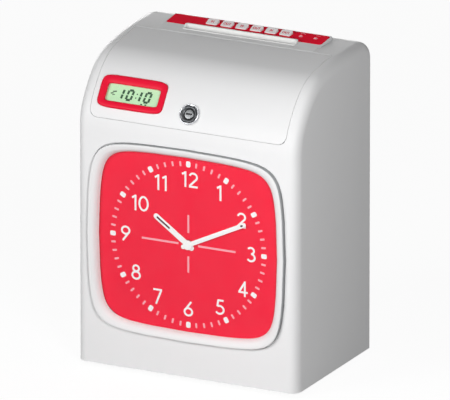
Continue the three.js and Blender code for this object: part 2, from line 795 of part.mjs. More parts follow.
// A hand with round ends that points up before it is turned to its time
function hand(name, parent, { length, width, face, bore, slotLength, degrees }) {
  const shape = roundedRect(-width / 2, width / 2, -handTail, length, width / 2);
  const hub = barY(hubRadius, [face, face + handThick], 0, 0);
  const slotTop = length - handSlotFromTip;
  const slot = roundedRect(-handSlotWidth / 2, handSlotWidth / 2, slotTop - slotLength, slotTop,
    handSlotWidth / 2);
  const body = upright(shape, [face, face + handThick]).add(hub)
    .subtract(upright(slot, [face - overrun, face + handThick + overrun]))
    .subtract(barY(bore, [face - overrun, face + handThick + overrun], 0, 0, smallSides));
  const mesh = piece(name, body, handWhite, parent);
  mesh.position.set(0, 0, dialZ);
  mesh.rotation.y = radians(degrees);
}

function hands(parent) {
  hand('minute_hand', parent, { length: minuteLength, width: minuteHandWidth, face: minuteHandFace,
    bore: arborRadius + seatGap, slotLength: minuteSlotLength, degrees: minuteDegrees });
  hand('hour_hand', parent, { length: hourLength, width: hourHandWidth, face: hourHandFace,
    bore: hourTubeRadius + seatGap, slotLength: hourSlotLength, degrees: hourDegrees });
}

// The display: a red frame, its window, the crystal unit, and the board with the setup buttons
function display(parent) {
  const group = slopeGroup(displayAcross, displayDegrees);
  parent.add(group);
  const low = seatGap - displayPocket;
  const depth = displayProud - low - displayRound;
  const rim = new THREE.ExtrudeGeometry(displayOutline(displayHalfWidth, displayHalfHeight), { depth,
    bevelEnabled: true, bevelThickness: displayRound, bevelSize: displayRound,
    bevelOffset: -displayRound, bevelSegments: rimSteps });
  const halfW = displayWindowWidth / 2;
  const halfH = displayWindowHeight / 2;
  const windowShape = roundedRect(-halfW, halfW, -halfH, halfH, displayWindowCorner);
  const under = block([-caseWidth, caseWidth], [-caseWidth, caseWidth], [-overrun - displayRound, low]);
  const frame = solid(rim.translate(0, 0, low)).subtract(under)
    .subtract(lying(windowShape, [-overrun, overrun]));
  piece('display_frame', frame, redPlastic, group);
  const pane = roundedRect(seatGap - halfW, halfW - seatGap, seatGap - halfH, halfH - seatGap,
    displayWindowCorner);
  piece('display_window', lying(pane, [low, displayProud - displayGlassSunk]), clearPlastic, group);
  const lcdFront = low - seatGap;
  const lcdBack = lcdFront - lcdThick;
  const lcdHalfW = halfW + displayHoleMargin - 2 * seatGap;
  const lcdHalfH = halfH + displayHoleMargin - seatGap;
  piece('lcd_module', block([-lcdHalfW, lcdHalfW], [-lcdHalfH, lcdHalfH], [lcdBack, lcdFront]),
    lcdGreen, group);
  const boardFront = lcdBack - seatGap;
  const boardBack = boardFront - boardThick;
  piece('display_board', block([-displayBoardLeft, displayBoardRight],
    [-displayBoardHalf, displayBoardHalf], [boardBack, boardFront]), boardGreen, group);
  for (const [index, side] of [-1, 1].entries()) {
    const up = side * setupButtonPitch / 2;
    const top = boardBack - setupButtonTravel - pinionExtra;
    const body = barZ(setupButtonRadius, [top - setupButtonHeight, top], setupButtonAcross, up, smallSides);
    piece(`setup_button_${index + 1}`, body, blackPlastic, group);
  }
  return group;
}

// The lock: a chromed barrel in the lid, a plug with a keyway, and the cam behind it
function lock(parent) {
  const group = slopeGroup(0, lockDegrees);
  parent.add(group);
  const barrel = barZ(lockBodyRadius, [-lockBodyLength, lockRingProud], 0, 0)
    .add(barZ(lockRingRadius, [seatGap, lockRingProud], 0, 0))
    .subtract(barZ(lockPlugRadius + runGap, [-lockBodyLength - overrun, lockRingProud + overrun], 0, 0));
  piece('lock_barrel', barrel, chrome, group);
  const face = lockRingProud - lockPlugSunk;
  const plugEnd = -lockBodyLength - seatGap;
  const plug = barZ(lockPlugRadius, [plugEnd, face], 0, 0)
    .subtract(block([-keywayLength / 2, keywayLength / 2], [-keywayWidth / 2, keywayWidth / 2],
      [face - keywayDepth, face + overrun]));
  piece('lock_plug', plug, lockDark, group);
  const camShape = roundedRect(-camHalfWidth, camReach, -camHalfWidth, camHalfWidth, camHalfWidth);
  piece('lock_cam', lying(camShape, [plugEnd - seatGap - camThick, plugEnd - seatGap]), steel, group);
  return group;
}

// The mouth of the card slot: a flange that lies on the deck, a neck through it, and a raised
// wall behind the slot that guides the card in
function slotLip(parent, deck) {
  const neckHalf = cardThroatHalf + slotWall;
  const neckDeep = cardThroatDepth / 2 + slotWall;
  const middle = cardY - keyRow;
  const flange = placed(block([-neckHalf - slotFlange, neckHalf + slotFlange],
    [middle - neckDeep - slotFlange, middle + neckDeep + slotFlange], [seatGap, slotProud + seatGap]), deck);
  const above = placed(block([-caseWidth, caseWidth], [middle - caseDepth, middle + caseDepth],
    [slotProud + seatGap, caseDepth]), deck);
  const neck = block([-neckHalf, neckHalf], [cardY - neckDeep, cardY + neckDeep],
    [neckLow, topHeight + overrun]).subtract(above);
  const throat = block([-cardThroatHalf, cardThroatHalf],
    [cardY - cardThroatDepth / 2, cardY + cardThroatDepth / 2], [neckLow - overrun, topHeight + 2 * overrun]);
  const guide = placed(block([-neckHalf, neckHalf],
    [middle + cardThroatDepth / 2 - slotWall, middle + neckDeep], [seatGap, slotBackProud]), deck);
  piece('slot_lip', flange.add(neck).add(guide).subtract(throat), whitePlastic, parent);
}

// What is cut from the top of a key, so that it rises from its front edge to its back
function keySlant(x) {
  const half = keyDepth / 2;
  const slant = new THREE.Shape([new THREE.Vector2(-half - overrun, keyProud),
    new THREE.Vector2(-half, keyProud), new THREE.Vector2(half, keyProud + keyRise),
    new THREE.Vector2(half + overrun, keyProud + keyRise),
    new THREE.Vector2(half + overrun, keyProud + keyRise + overrun),
    new THREE.Vector2(-half - overrun, keyProud + keyRise + overrun)]);
  return across(slant, [x - keyWidth, x + keyWidth]);
}

// The red panel, its six keys and two lamps, and the board under them
function keypad(deck) {
  let panel = lying(panelShape(0), [-panelThick, 0]);
  const keyBottom = keyProud - keyBody;
  const stemBottom = keyTravel + pinionExtra - keyBoardSunk;
  for (let index = 0; index < keyCount; index++) {
    const x = keyFirstAcross + index * keyPitch;
    const outline = (gap) => roundedRect(x - keyWidth / 2 - gap, x + keyWidth / 2 + gap,
      -keyDepth / 2 - gap, keyDepth / 2 + gap, keyCorner + gap);
    panel = panel.subtract(lying(outline(runGap), [-panelThick - overrun, overrun]));
    const key = lying(outline(0), [keyBottom, keyProud + keyRise]).subtract(keySlant(x))
      .add(barZ(keyStemRadius, [stemBottom, keyProud - keyBody / 2], x, 0, smallSides));
    piece(`key_${index + 1}`, key, keyWhite, deck);
  }
  for (let index = 0; index < lampCount; index++) {
    const x = lampFirstAcross + index * keyPitch;
    panel = panel.subtract(barZ(lampRadius + seatGap, [-panelThick - overrun, overrun], x, 0, smallSides));
    piece(`status_lamp_${index + 1}`, barZ(lampRadius, [-lampLength, keyProud / 2], x, 0, smallSides),
      redPlastic, deck);
  }
  piece('keypad_panel', panel, redPlastic, deck);
  const field = keyField(keyBoardMargin);
  piece('keypad_board', block(field.x, field.y, [-keyBoardSunk - boardThick, -keyBoardSunk]), boardGreen,
    deck);
}

// The back cover: a plate over the rear window, with a rim inside it and two keyholes
function backCover(parent) {
  const low = footHeight + rearWindowLow;
  const high = footHeight + rearWindowHigh;
  const plateFront = rearY + seatGap / 2;
  const plateBack = rearY + bezelProud;
  const outline = roundedRect(-rearWindowHalf - coverLap, rearWindowHalf + coverLap, low - coverLap,
    high + coverLap, rearWindowCorner + coverLap);
  const rimShape = (inset) => roundedRect(-rearWindowHalf + inset, rearWindowHalf - inset, low + inset,
    high - inset, rearWindowCorner - seatGap);
  const rim = upright(rimShape(seatGap), [rearY - coverRimDepth, plateFront + seatGap])
    .subtract(upright(rimShape(seatGap + coverRim), [rearY - overrun, plateBack]));
  let body = upright(outline, [plateFront, plateBack]).add(rim);
  const through = [rearY - overrun, plateBack + overrun];
  for (const side of [-1, 1]) {
    const x = side * keyholeAcross;
    const z = footHeight + keyholeHeight;
    body = body.subtract(barY(keyholeRadius, through, x, z))
      .subtract(upright(roundedRect(x - keyholeNeck, x + keyholeNeck, z, z + keyholeLength, keyholeNeck),
        through));
  }
  const inletZ = footHeight + inletHeight;
  body = body.subtract(upright(roundedRect(inletAcross - inletHalfWidth - inletWall - seatGap,
    inletAcross + inletHalfWidth + inletWall + seatGap, inletZ - inletHalfHeight - inletWall - seatGap,
    inletZ + inletHalfHeight + inletWall + seatGap, inletHalfHeight), through));
  piece('back_cover', body, whitePlastic, parent);
}

// The mains inlet: a shrouded socket with two pins, from inside the back cover
function powerInlet(parent) {
  const z = footHeight + inletHeight;
  const mouth = rearY + bezelProud;
  const ring = (margin) => roundedRect(inletAcross - inletHalfWidth - margin,
    inletAcross + inletHalfWidth + margin, z - inletHalfHeight - margin, z + inletHalfHeight + margin,
    inletHalfHeight);
  const plateFront = rearY + seatGap / 2;
  let body = upright(ring(inletWall), [mouth - inletDepth, mouth])
    .add(upright(ring(inletWall + inletFlange), [plateFront - seatGap - inletWall, plateFront - seatGap]))
    .subtract(upright(ring(0), [mouth - inletSocketDepth, mouth + overrun]));
  for (const side of [-1, 1]) {
    const base = mouth - inletSocketDepth;
    body = body.add(barY(inletPinRadius, [base - inletWall, base + inletPinLength],
      inletAcross + side * inletPinSpread, z, smallSides));
  }
  piece('power_inlet', body, blackPlastic, parent);
}

function baseAndFeet(parent) {
  const half = halfWidth - wall - seatGap;
  const front = innerFront + seatGap;
  const plate = lying(roundedRect(-half, half, front, -front, sideFillet - wall), [footHeight, baseTop]);
  const squareRear = block([-half, half], [0, -front], [footHeight, baseTop]);
  piece('base_plate', plate.add(squareRear), blackPlastic, parent);
  const places = [[-1, -1], [1, -1], [-1, 1], [1, 1]];
  for (const [index, [sideX, sideY]] of places.entries()) {
    const body = barZ(footRadius, [0, footHeight], sideX * (halfWidth - footFromSide),
      sideY * (caseDepth / 2 - footFromFront));
    piece(`foot_${index + 1}`, body, darkRubber, parent);
  }
}

const chuteFrontY = [cardY - chuteGap / 2 - chuteThick, cardY - chuteGap / 2];
const chuteBackY = [cardY + chuteGap / 2, cardY + chuteGap / 2 + chuteThick];
const feedY = cardY - nipGap / 2 - feedRadius;
const pinchY = cardY + nipGap / 2 + pinchRadius;
const feedZ = footHeight + feedHeight;
const feedMotorDistance = feedModule * (feedGearTeeth + feedPinionTeeth) / 2;
const feedPinionAngle = radians(feedPinionDegrees);
const feedPinionY = feedY + feedMotorDistance * Math.cos(feedPinionAngle);
const feedPinionZ = feedZ + feedMotorDistance * Math.sin(feedPinionAngle);
const rodY = unitY + rodDepth;
const rodZ = footHeight + rodHeight;

const beltY = [unitY + beltDepth, unitY + beltDepth + beltWidth];
const beltZ = footHeight + beltHeight;

// The bracket on the right-hand side frame that holds the idler pulley
function idlerArm() {
  const back = beltY[0] - clampThick;
  const inner = pulleyAcross - armHalf;
  return block([inner, frameInner + frameThick / 2], [back - armHalf, back],
    [beltZ - armHalf, beltZ + armHalf])
    .subtract(barY(pulleyShaftRadius + runGap, [back - armHalf - overrun, back + overrun], pulleyAcross,
      beltZ, smallSides));
}

// One of the two sheet steel sides that carry the chute, the rollers and the printing unit
function sideFrame(name, side, parent) {
  const front = unitY + frameFrontDepth;
  const back = unitY + frameBackDepth;
  const low = baseTop + seatGap / 2;
  const high = footHeight + frameTop;
  const outline = new THREE.Shape([new THREE.Vector2(front, low), new THREE.Vector2(back, low),
    new THREE.Vector2(back, high), new THREE.Vector2(cardY, high),
    new THREE.Vector2(unitY + ribbonFrontDepth, high), new THREE.Vector2(front, footHeight + frameNoseTop)]);
  const span = side > 0 ? [frameInner, frameOuter] : [-frameOuter, -frameInner];
  const flangeSpan = side > 0 ? [frameInner, frameOuter + frameFlange]
    : [-frameOuter - frameFlange, -frameInner];
  let body = across(outline, span).add(block(flangeSpan, [front, back], [low, low + frameThick]));
  const holes = [[rodRadius, rodY, rodZ], [feedShaftRadius, feedY, feedZ], [feedShaftRadius, pinchY, feedZ]];
  if (side > 0) holes.push([feedShaftRadius, feedPinionY, feedPinionZ]);
  if (side > 0) body = body.add(idlerArm());
  for (const [radius, y, z] of holes) {
    body = body.subtract(barX(radius + runGap, [span[0] - overrun, span[1] + overrun], y, z, smallSides));
  }
  piece(name, body, steel, parent);
}

// The chute that guides the card: two plates between the side frames
function cardChute(parent) {
  const reach = frameInner - seatGap;
  const top = neckLow - seatGap;
  const low = footHeight + chuteLow;
  const rollerWindow = (radius, y) => block([-rollerHalf - chuteWindowMargin, rollerHalf + chuteWindowMargin],
    y, [feedZ - radius - chuteWindowMargin, feedZ + radius + chuteWindowMargin]);
  const headHalfSpan = headHalf + carriageTravel + chuteWindowMargin;
  const headZ = footHeight + headHeight;
  const headWindow = block([-headHalfSpan, headHalfSpan], [chuteFrontY[0] - overrun, cardY],
    [headZ - headHalfHeight - chuteWindowMargin, headZ + headHalfHeight + chuteWindowMargin]);
  const front = block([-reach, reach], chuteFrontY, [low, top])
    .subtract(rollerWindow(feedRadius, [chuteFrontY[0] - overrun, cardY])).subtract(headWindow);
  piece('card_chute_front', front, steel, parent);
  let back = block([-reach, reach], chuteBackY, [low, top])
    .subtract(rollerWindow(pinchRadius, [cardY, chuteBackY[1] + overrun]));
  for (const side of [-1, 1]) {
    const inner = side * cardThroatHalf;
    const outer = side * (cardThroatHalf + chuteRail);
    back = back.add(block([Math.min(inner, outer), Math.max(inner, outer)],
      [chuteFrontY[1] + seatGap, chuteBackY[1]], [low, top]));
  }
  const stop = block([-cardThroatHalf, cardThroatHalf], [chuteFrontY[1] + seatGap, chuteBackY[1]],
    [low, low + chuteThick]);
  piece('card_chute_rear', back.add(stop), steel, parent);
}

// The card feed: a driven roller in front of the card and a pinch roller behind it
function cardFeed(parent) {
  const shaftEnd = frameOuter + seatGap;
  const gearSpan = [shaftEnd + feedGearFromFrame, shaftEnd + feedGearFromFrame + feedGearThick];
  const feed = barX(feedRadius, [-rollerHalf, rollerHalf], 0, 0)
    .add(barX(feedShaftRadius, [-shaftEnd, gearSpan[1]], 0, 0, smallSides))
    .add(across(gearShape(feedGearTeeth, feedModule, feedPinionAngle), gearSpan));
  piece('feed_roller', feed, darkRubber, parent).position.set(0, feedY, feedZ);
  const pinch = barX(pinchRadius, [-rollerHalf, rollerHalf], 0, 0)
    .add(barX(feedShaftRadius, [-shaftEnd, shaftEnd], 0, 0, smallSides));
  piece('pinch_roller', pinch, darkRubber, parent).position.set(0, pinchY, feedZ);
  const motorEnd = frameInner - seatGap;
  const pinionTooth = feedPinionAngle + Math.PI + Math.PI / feedPinionTeeth;
  const pinion = across(gearShape(feedPinionTeeth, feedModule, pinionTooth),
    [gearSpan[0] - pinionExtra, gearSpan[1] + pinionExtra])
    .add(barX(feedShaftRadius, [motorEnd - feedMotorLength / 2, gearSpan[1]], 0, 0, smallSides));
  piece('feed_pinion', pinion, brass, parent).position.set(0, feedPinionY, feedPinionZ);
  const motor = barX(feedMotorRadius, [motorEnd - feedMotorLength, motorEnd], feedPinionY, feedPinionZ)
    .subtract(barX(feedShaftRadius + runGap, [motorEnd - feedMotorLength / 2 - runGap,
      motorEnd + overrun], feedPinionY, feedPinionZ, smallSides));
  piece('feed_motor', motor, steel, parent);
}

// The printing unit: a carriage on a rod, its head, and the belt that draws it
function printer(parent) {
  const rodEnd = frameOuter + seatGap;
  piece('guide_rod', barX(rodRadius, [-rodEnd, rodEnd], rodY, rodZ, smallSides), chrome, parent);
  const carriageY = [unitY + carriageFrontDepth, unitY + carriageBackDepth];
  const carriageZ = [footHeight + carriageLow, footHeight + carriageHigh];
  const lowerRun = beltZ - beltRadius - beltThick;
  const clampTop = lowerRun - seatGap;
  const clamp = block([-carriageHalf / 2, carriageHalf / 2], [beltY[0], carriageY[0] + clampThick],
    [clampTop - clampThick, clampTop]);
  const carriage = block([-carriageHalf, carriageHalf], carriageY, carriageZ)
    .subtract(barX(rodRadius + runGap, [-caseWidth, caseWidth], rodY, rodZ, smallSides)).add(clamp);
  piece('print_carriage', carriage, blackPlastic, parent);
  const headZ = footHeight + headHeight;
  const headStart = carriageY[1] + seatGap;
  const headTip = chuteFrontY[1];
  piece('print_head', block([-headHalf, headHalf], [headStart, headTip],
    [headZ - headHalfHeight, headZ + headHalfHeight]), steel, parent);
  const loop = (radius) => roundedRect(-pulleyAcross - radius, pulleyAcross + radius,
    beltZ - radius, beltZ + radius, radius);
  const belt = upright(loop(beltRadius + beltThick), beltY)
    .subtract(upright(loop(beltRadius), [beltY[0] - overrun, beltY[1] + overrun]));
  piece('carriage_belt', belt, darkRubber, parent);
  const shaftFront = beltY[0] - pulleyShaftFront;
  for (const [name, side] of [['drive_pulley', -1], ['idler_pulley', 1]]) {
    const pulley = barY(beltRadius - seatGap, [beltY[0] - pinionExtra, beltY[1] + pinionExtra], 0, 0)
      .add(barY(pulleyShaftRadius, [shaftFront, beltY[1] + clampThick], 0, 0, smallSides));
    piece(name, pulley, steel, parent).position.set(side * pulleyAcross, 0, beltZ);
    const motorBack = beltY[0] - clampThick;
    const shell = barY(motorRadius, [motorBack - motorLength, motorBack], side * pulleyAcross, beltZ)
      .subtract(barY(pulleyShaftRadius + runGap, [shaftFront - runGap, beltY[1]], side * pulleyAcross, beltZ,
        smallSides));
    if (side < 0) piece('carriage_motor', shell, steel, parent);
  }
}

// The ribbon cassette under the lid, with the knob that takes up its slack
function ribbon(parent) {
  const high = footHeight + ribbonHigh;
  const knobY = unitY + (ribbonFrontDepth + ribbonBackDepth) / 2;
  const shape = roundedRect(-ribbonHalf, ribbonHalf, unitY + ribbonFrontDepth,
    unitY + ribbonBackDepth, ribbonCorner);
  const cassette = lying(shape, [footHeight + ribbonLow, high])
    .add(block([-frameInner + seatGap, frameInner - seatGap],
      [knobY - ribbonCorner, knobY + ribbonCorner],
      [footHeight + ribbonLow, footHeight + ribbonLow + ribbonLedge]))
    .subtract(barZ(knobStem + runGap, [high - knobHeight, high + overrun], knobAcross, knobY, smallSides));
  piece('ribbon_cassette', cassette, blackPlastic, parent);
  const points = Array.from({ length: 2 * knobRibs }, (_, i) => {
    const radius = knobRadius - (i % 2) * knobStem / 2;
    const angle = fullTurn * i / (2 * knobRibs);
    return new THREE.Vector2(radius * Math.cos(angle), radius * Math.sin(angle));
  });
  const knob = lying(new THREE.Shape(points), [high + seatGap, high + knobHeight])
    .add(barZ(knobStem, [high - knobHeight + runGap, high + knobHeight / 2], 0, 0, smallSides));
  piece('ribbon_knob', knob, redPlastic, parent).position.set(knobAcross, knobY, 0);
}

function electrics(parent) {
  const boardY = unitY + frameBackDepth + seatGap;
  const board = block([-frameOuter, frameOuter],
    [boardY, boardY + boardThick], [footHeight + boardLow, footHeight + boardHigh]);
  const midZ = footHeight + (boardLow + boardHigh) / 2;
  const chip = block([-chipSize / 2, chipSize / 2], [boardY, boardY + boardThick + chipHeight],
    [midZ, midZ + chipSize]);
  const relay = block([frameInner / 2, frameInner / 2 + relaySize],
    [boardY, boardY + boardThick + relayHeight], [midZ - chipSize, midZ - chipSize + relaySize]);
  const batteryLeft = boardPartsMargin - frameInner;
  const battery = block([batteryLeft, batteryLeft + batteryWidth],
    [boardY, boardY + boardThick + batteryDepth], [midZ - batteryHeight, midZ]);
  piece('main_board', board.add(chip).add(relay).add(battery), boardGreen, parent);
  const y = unitY + transformerDepth;
  const low = baseTop + seatGap / 2;
  const core = block([transformerAcross - coreHalfWidth, transformerAcross + coreHalfWidth],
    [y - coreDepth / 2, y + coreDepth / 2], [low, low + coreHeight]);
  const winding = block([transformerAcross - windingHalfWidth, transformerAcross + windingHalfWidth],
    [y - windingDepth / 2, y + windingDepth / 2], [low + windingMargin, low + coreHeight - windingMargin]);
  piece('transformer', core.add(winding), copper, parent);
}

const clock = new THREE.Group();
const deck = deckGroup();
clock.add(deck);
mainCase(clock, deck);
const slope = display(clock);
const lockSlope = lock(clock);
lid(clock, slope, lockSlope);
hingeRod(clock);
dialBezel(clock);
dialParts(clock);
motionWork(clock);
hands(clock);
slotLip(clock, deck);
keypad(deck);
backCover(clock);
powerInlet(clock);
baseAndFeet(clock);
sideFrame('side_frame_left', -1, clock);
sideFrame('side_frame_right', 1, clock);
cardChute(clock);
cardFeed(clock);
printer(clock);
ribbon(clock);
electrics(clock);

export default clock;
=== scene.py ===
# %% [markdown]
# # A punch card time clock
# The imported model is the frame: every part of the clock is already there, at its real place and
# size, and moves on its own joint. This script gives it its looks. Outer shells that the CAD holds
# as coarse facets are made again here as smooth surfaces that follow the same lengths, and every
# other part gets a procedural material.

# %% Load the frame
import json
import math
import bpy
import bmesh
import numpy as np
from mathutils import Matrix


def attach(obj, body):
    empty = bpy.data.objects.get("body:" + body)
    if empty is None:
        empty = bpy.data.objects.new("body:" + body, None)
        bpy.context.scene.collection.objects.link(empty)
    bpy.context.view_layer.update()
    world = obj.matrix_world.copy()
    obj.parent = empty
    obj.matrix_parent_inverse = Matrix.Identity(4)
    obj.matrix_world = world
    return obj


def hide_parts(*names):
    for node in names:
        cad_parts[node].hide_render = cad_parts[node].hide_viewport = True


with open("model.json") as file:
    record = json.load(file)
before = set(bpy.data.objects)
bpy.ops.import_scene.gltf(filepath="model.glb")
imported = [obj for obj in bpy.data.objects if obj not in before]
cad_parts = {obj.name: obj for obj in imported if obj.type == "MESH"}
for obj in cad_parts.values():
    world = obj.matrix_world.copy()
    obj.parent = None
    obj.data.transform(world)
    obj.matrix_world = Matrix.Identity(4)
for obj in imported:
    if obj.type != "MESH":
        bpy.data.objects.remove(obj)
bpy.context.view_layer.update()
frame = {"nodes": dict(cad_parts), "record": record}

# %% [markdown]
# ## Camera
# The upright edges of the clock stay parallel in the picture, so it was taken from far away with a
# long lens. The camera stands 12 m off, turned 26.6 degrees to the clock's right and 18.1 degrees up.

# %% Camera
scene = bpy.context.scene
TURN, LIFT, AWAY = math.radians(26.6), math.radians(18.1), 12.0
back = np.array([math.sin(TURN) * math.cos(LIFT), -math.cos(TURN) * math.cos(LIFT), math.sin(LIFT)])
aim = np.array([0.0014, 0.0, 0.1219])
camera = bpy.data.objects.new("camera", bpy.data.cameras.new("camera"))
camera.data.lens, camera.data.sensor_width = 1312.0, 36.0
camera.data.clip_start, camera.data.clip_end = 0.1, 60.0
camera.location = (aim + back * AWAY).tolist()
camera.rotation_euler = (math.pi / 2 - LIFT, 0.0, TURN)
scene.collection.objects.link(camera)
scene.camera = camera
print("camera", np.round(aim + back * AWAY, 3).tolist())

# %% [markdown]
# ## Shader maths in plain Python
# A wire stands for one output of a node. Adding or multiplying wires adds Math nodes, so a mask can
# be written as an expression. Every other node comes from one method that takes its type, its
# settings and what goes into its sockets.

# %% Wires and paints
class Wire:
    """One output socket of a paint; sums, products and comparisons of wires become Math nodes."""

    def __init__(self, paint, socket):
        self.paint, self.socket = paint, socket

    def maths(self, operation, first, second=0.0):
        return self.paint.node("ShaderNodeMath", {"operation": operation}, {0: first, 1: second})

    def __add__(self, other): return self.maths("ADD", self, other)
    def __mul__(self, other): return self.maths("MULTIPLY", self, other)
    def __lt__(self, other): return self.maths("LESS_THAN", self, other)
    __radd__, __rmul__ = __add__, __mul__


class Paint:
    """A material; node() adds a node with its settings and sockets and gives one of its outputs."""

    def __init__(self, name):
        self.material = bpy.data.materials.new(name)
        self.material.use_nodes = True
        self.tree = self.material.node_tree
        self.tree.nodes.clear()

    def node(self, kind, settings=None, sockets=None, output=0):
        made = self.tree.nodes.new(kind)
        for key, value in (settings or {}).items():
            if key == "stops":
                while len(made.color_ramp.elements) < len(value):
                    made.color_ramp.elements.new(1.0)
                for element, (place, colour) in zip(made.color_ramp.elements, value):
                    element.position, element.color = place, colour
            else:
                setattr(made, key, value)
        for key, value in (sockets or {}).items():
            if isinstance(value, Wire):
                self.tree.links.new(value.socket, made.inputs[key])
            else:
                made.inputs[key].default_value = value
        return Wire(self, made.outputs[output])

    def place(self):
        return self.node("ShaderNodeTexCoord", output="Object")

    def stretched(self, scale):
        return self.node("ShaderNodeMapping", None, {"Vector": self.place(), "Scale": scale})

    def noise(self, scale, detail=2.0, vector=None):
        sockets = {"Vector": vector or self.place(), "Scale": scale, "Detail": detail}
        return self.node("ShaderNodeTexNoise", None, sockets)

    def blend(self, mask, first, second):
        settings = {"data_type": "RGBA"}
        return self.node("ShaderNodeMix", settings, {0: mask, 6: first, 7: second}, output=2)

    def bump(self, height, depth, strength=1.0):
        return self.node("ShaderNodeBump", None, {"Strength": strength, "Distance": depth, "Height": height})

    def surface(self, sockets):
        shader = self.node("ShaderNodeBsdfPrincipled", None, sockets)
        out = self.tree.nodes.new("ShaderNodeOutputMaterial")
        self.tree.links.new(shader.socket, out.inputs["Surface"])
        return self.material


def tint(colour, share):
    """The colour times a share, as a colour with full alpha."""
    return tuple(min(1.0, value * share) for value in colour[:3]) + (1.0,)

print("shader helpers ready")

# %% [markdown]
# ## Finishes
# Moulded plastic is never one flat colour: it has a faint cloudiness, a skin with an orange-peel
# ripple of about half a millimetre, and a gloss that varies a little. One function makes all the
# plastics, with the colour, the gloss and the depth of the ripple as its values.

# %% Moulded plastics and prints
def moulded(name, colour, gloss, ripple=0.00001, ripple_size=0.0006, cloud=0.03, coat=0.0, level=0.3,
            sheen=0.0):
    """Plastic: cloudy colour, fine ripple in the skin, and a roughness that varies with the cloud."""
    paint = Paint(name)
    clouds = paint.noise(70.0, 3.0)
    skin = paint.noise(1.0 / ripple_size, 2.0)
    return paint.surface({
        "Base Color": paint.blend(clouds, tint(colour, 1.0 - cloud), tint(colour, 1.0 + cloud)),
        "Roughness": gloss - 0.05 + clouds * 0.1,
        "Normal": paint.bump(skin, ripple),
        "Coat Weight": coat, "Coat Roughness": 0.08, "Specular IOR Level": level,
        "Sheen Weight": sheen, "Sheen Roughness": 0.5, "Sheen Tint": tint(colour, 1.0)})


shell_white = moulded("shell_white", (0.865, 0.866, 0.870), 0.36, 0.000012, 0.0007, 0.008, level=0.06)
# Grey for the band round the dial ring: painted shade.
painted_shade_grey = moulded("painted_shade_grey", (0.44, 0.45, 0.46), 0.6, 0.000012, 0.0006, 0.05, level=0.1)
lip_white = moulded("lip_white", (0.88, 0.88, 0.87), 0.4, 0.000012, 0.0006, 0.01)
gloss_red = moulded("gloss_red", (0.84, 0.010, 0.042), 0.3, 0.000012, 0.0008, 0.04, level=0.08)
panel_red = moulded("panel_red", (0.95, 0.006, 0.035), 0.6, 0.00003, 0.0005, 0.05, level=0.02, sheen=0.8)
dial_red = moulded("dial_red", (0.90, 0.012, 0.046), 0.6, 0.00001, 0.0005, 0.03, level=0.05)
ink_white = moulded("ink_white", (0.93, 0.90, 0.91), 0.5, 0.00001, 0.0003, 0.02)
ink_pink = moulded("ink_pink", (0.95, 0.40, 0.46), 0.5, 0.00001, 0.0003, 0.03, level=0.1)
ink_red = moulded("ink_red", (0.70, 0.02, 0.05), 0.5, 0.00001, 0.0003, 0.03)
hand_enamel = moulded("hand_enamel", (0.93, 0.93, 0.93), 0.35, 0.000008, 0.0004, 0.01, 0.3)
# Dark maroon for the strip in the hands' slots: painted shade of the dial under them.
slot_painted_shade = moulded("slot_painted_shade", (0.06, 0.004, 0.010), 0.6, 0.00001, 0.0004, 0.1, level=0.1)
key_white = moulded("key_white", (0.97, 0.94, 0.945), 0.42, 0.00002, 0.0004, 0.01, level=0.2)
lamp_red = moulded("lamp_red", (0.82, 0.20, 0.26), 0.2, 0.000008, 0.0006, 0.03, 0.5)
black_plastic = moulded("black_plastic", (0.022, 0.022, 0.024), 0.5, 0.00003, 0.0005, 0.12)
knob_red = moulded("knob_red", (0.55, 0.02, 0.03), 0.35, 0.00002, 0.0005, 0.05)
rubber = moulded("rubber", (0.020, 0.020, 0.020), 0.85, 0.00006, 0.0009, 0.2, level=0.3)
print("plastics:", len([m for m in bpy.data.materials if m.users == 0]), "finishes")

# %% [markdown]
# ## Metals
# Rolled sheet and drawn rod carry fine lines along the way they were worked. The lines are a noise
# that is stretched along one axis, and they change both the roughness and the height.

# %% Metals
def metal(name, colour, roughness, grain=(60.0, 60.0, 2400.0), depth=0.00001, change=0.12):
    """Metal: fine stretched lines that change the roughness, the colour and the height together."""
    paint = Paint(name)
    lines = paint.noise(1.0, 3.0, paint.stretched(grain))
    spots = paint.noise(45.0, 4.0)
    darker, lighter = tint(colour, 1.0 - change), tint(colour, 1.0 + change)
    return paint.surface({
        "Base Color": paint.blend(lines * 0.6 + spots * 0.4, darker, lighter),
        "Roughness": roughness - 0.06 + lines * 0.12,
        "Normal": paint.bump(lines, depth),
        "Metallic": 1.0})


sheet_steel = metal("sheet_steel", (0.60, 0.61, 0.62), 0.34)
bright_rod = metal("bright_rod", (0.78, 0.79, 0.80), 0.14, (2600.0, 60.0, 60.0), 0.000004, 0.05)
chrome = metal("chrome", (0.60, 0.61, 0.63), 0.12, (900.0, 900.0, 900.0), 0.000003, 0.04)
# Dark metal for the print head; on the lock's face its darkness is a painted reflection.
dark_metal_and_painted_reflection = metal("dark_metal_and_painted_reflection", (0.055, 0.057, 0.060), 0.3, (1800.0, 300.0, 300.0), 0.00001, 0.2)
# Steel darkened as painted shade, for the lock's plug.
plug_steel_painted_shade = metal("plug_steel_painted_shade", (0.16, 0.165, 0.17), 0.26, (2200.0, 200.0, 200.0), 0.000008, 0.12)
machined_brass = metal("machined_brass", (0.66, 0.47, 0.17), 0.28, (900.0, 900.0, 900.0), 0.000006, 0.08)
screw_zinc = metal("screw_zinc", (0.55, 0.55, 0.53), 0.32, (700.0, 700.0, 700.0), 0.00001, 0.12)
print("metals ready")

# %% [markdown]
# ## Boards, windings and glass
# A circuit board shows its copper tracks as paler lines under the green lacquer: the edges of Voronoi
# cells give straight runs that fork, and small cells give the pads. The transformer has a laminated
# core, seen as thin bands. The crystal display is a pale green plate with a faint mottle, and its
# pane and the dial's lens are nearly clear.

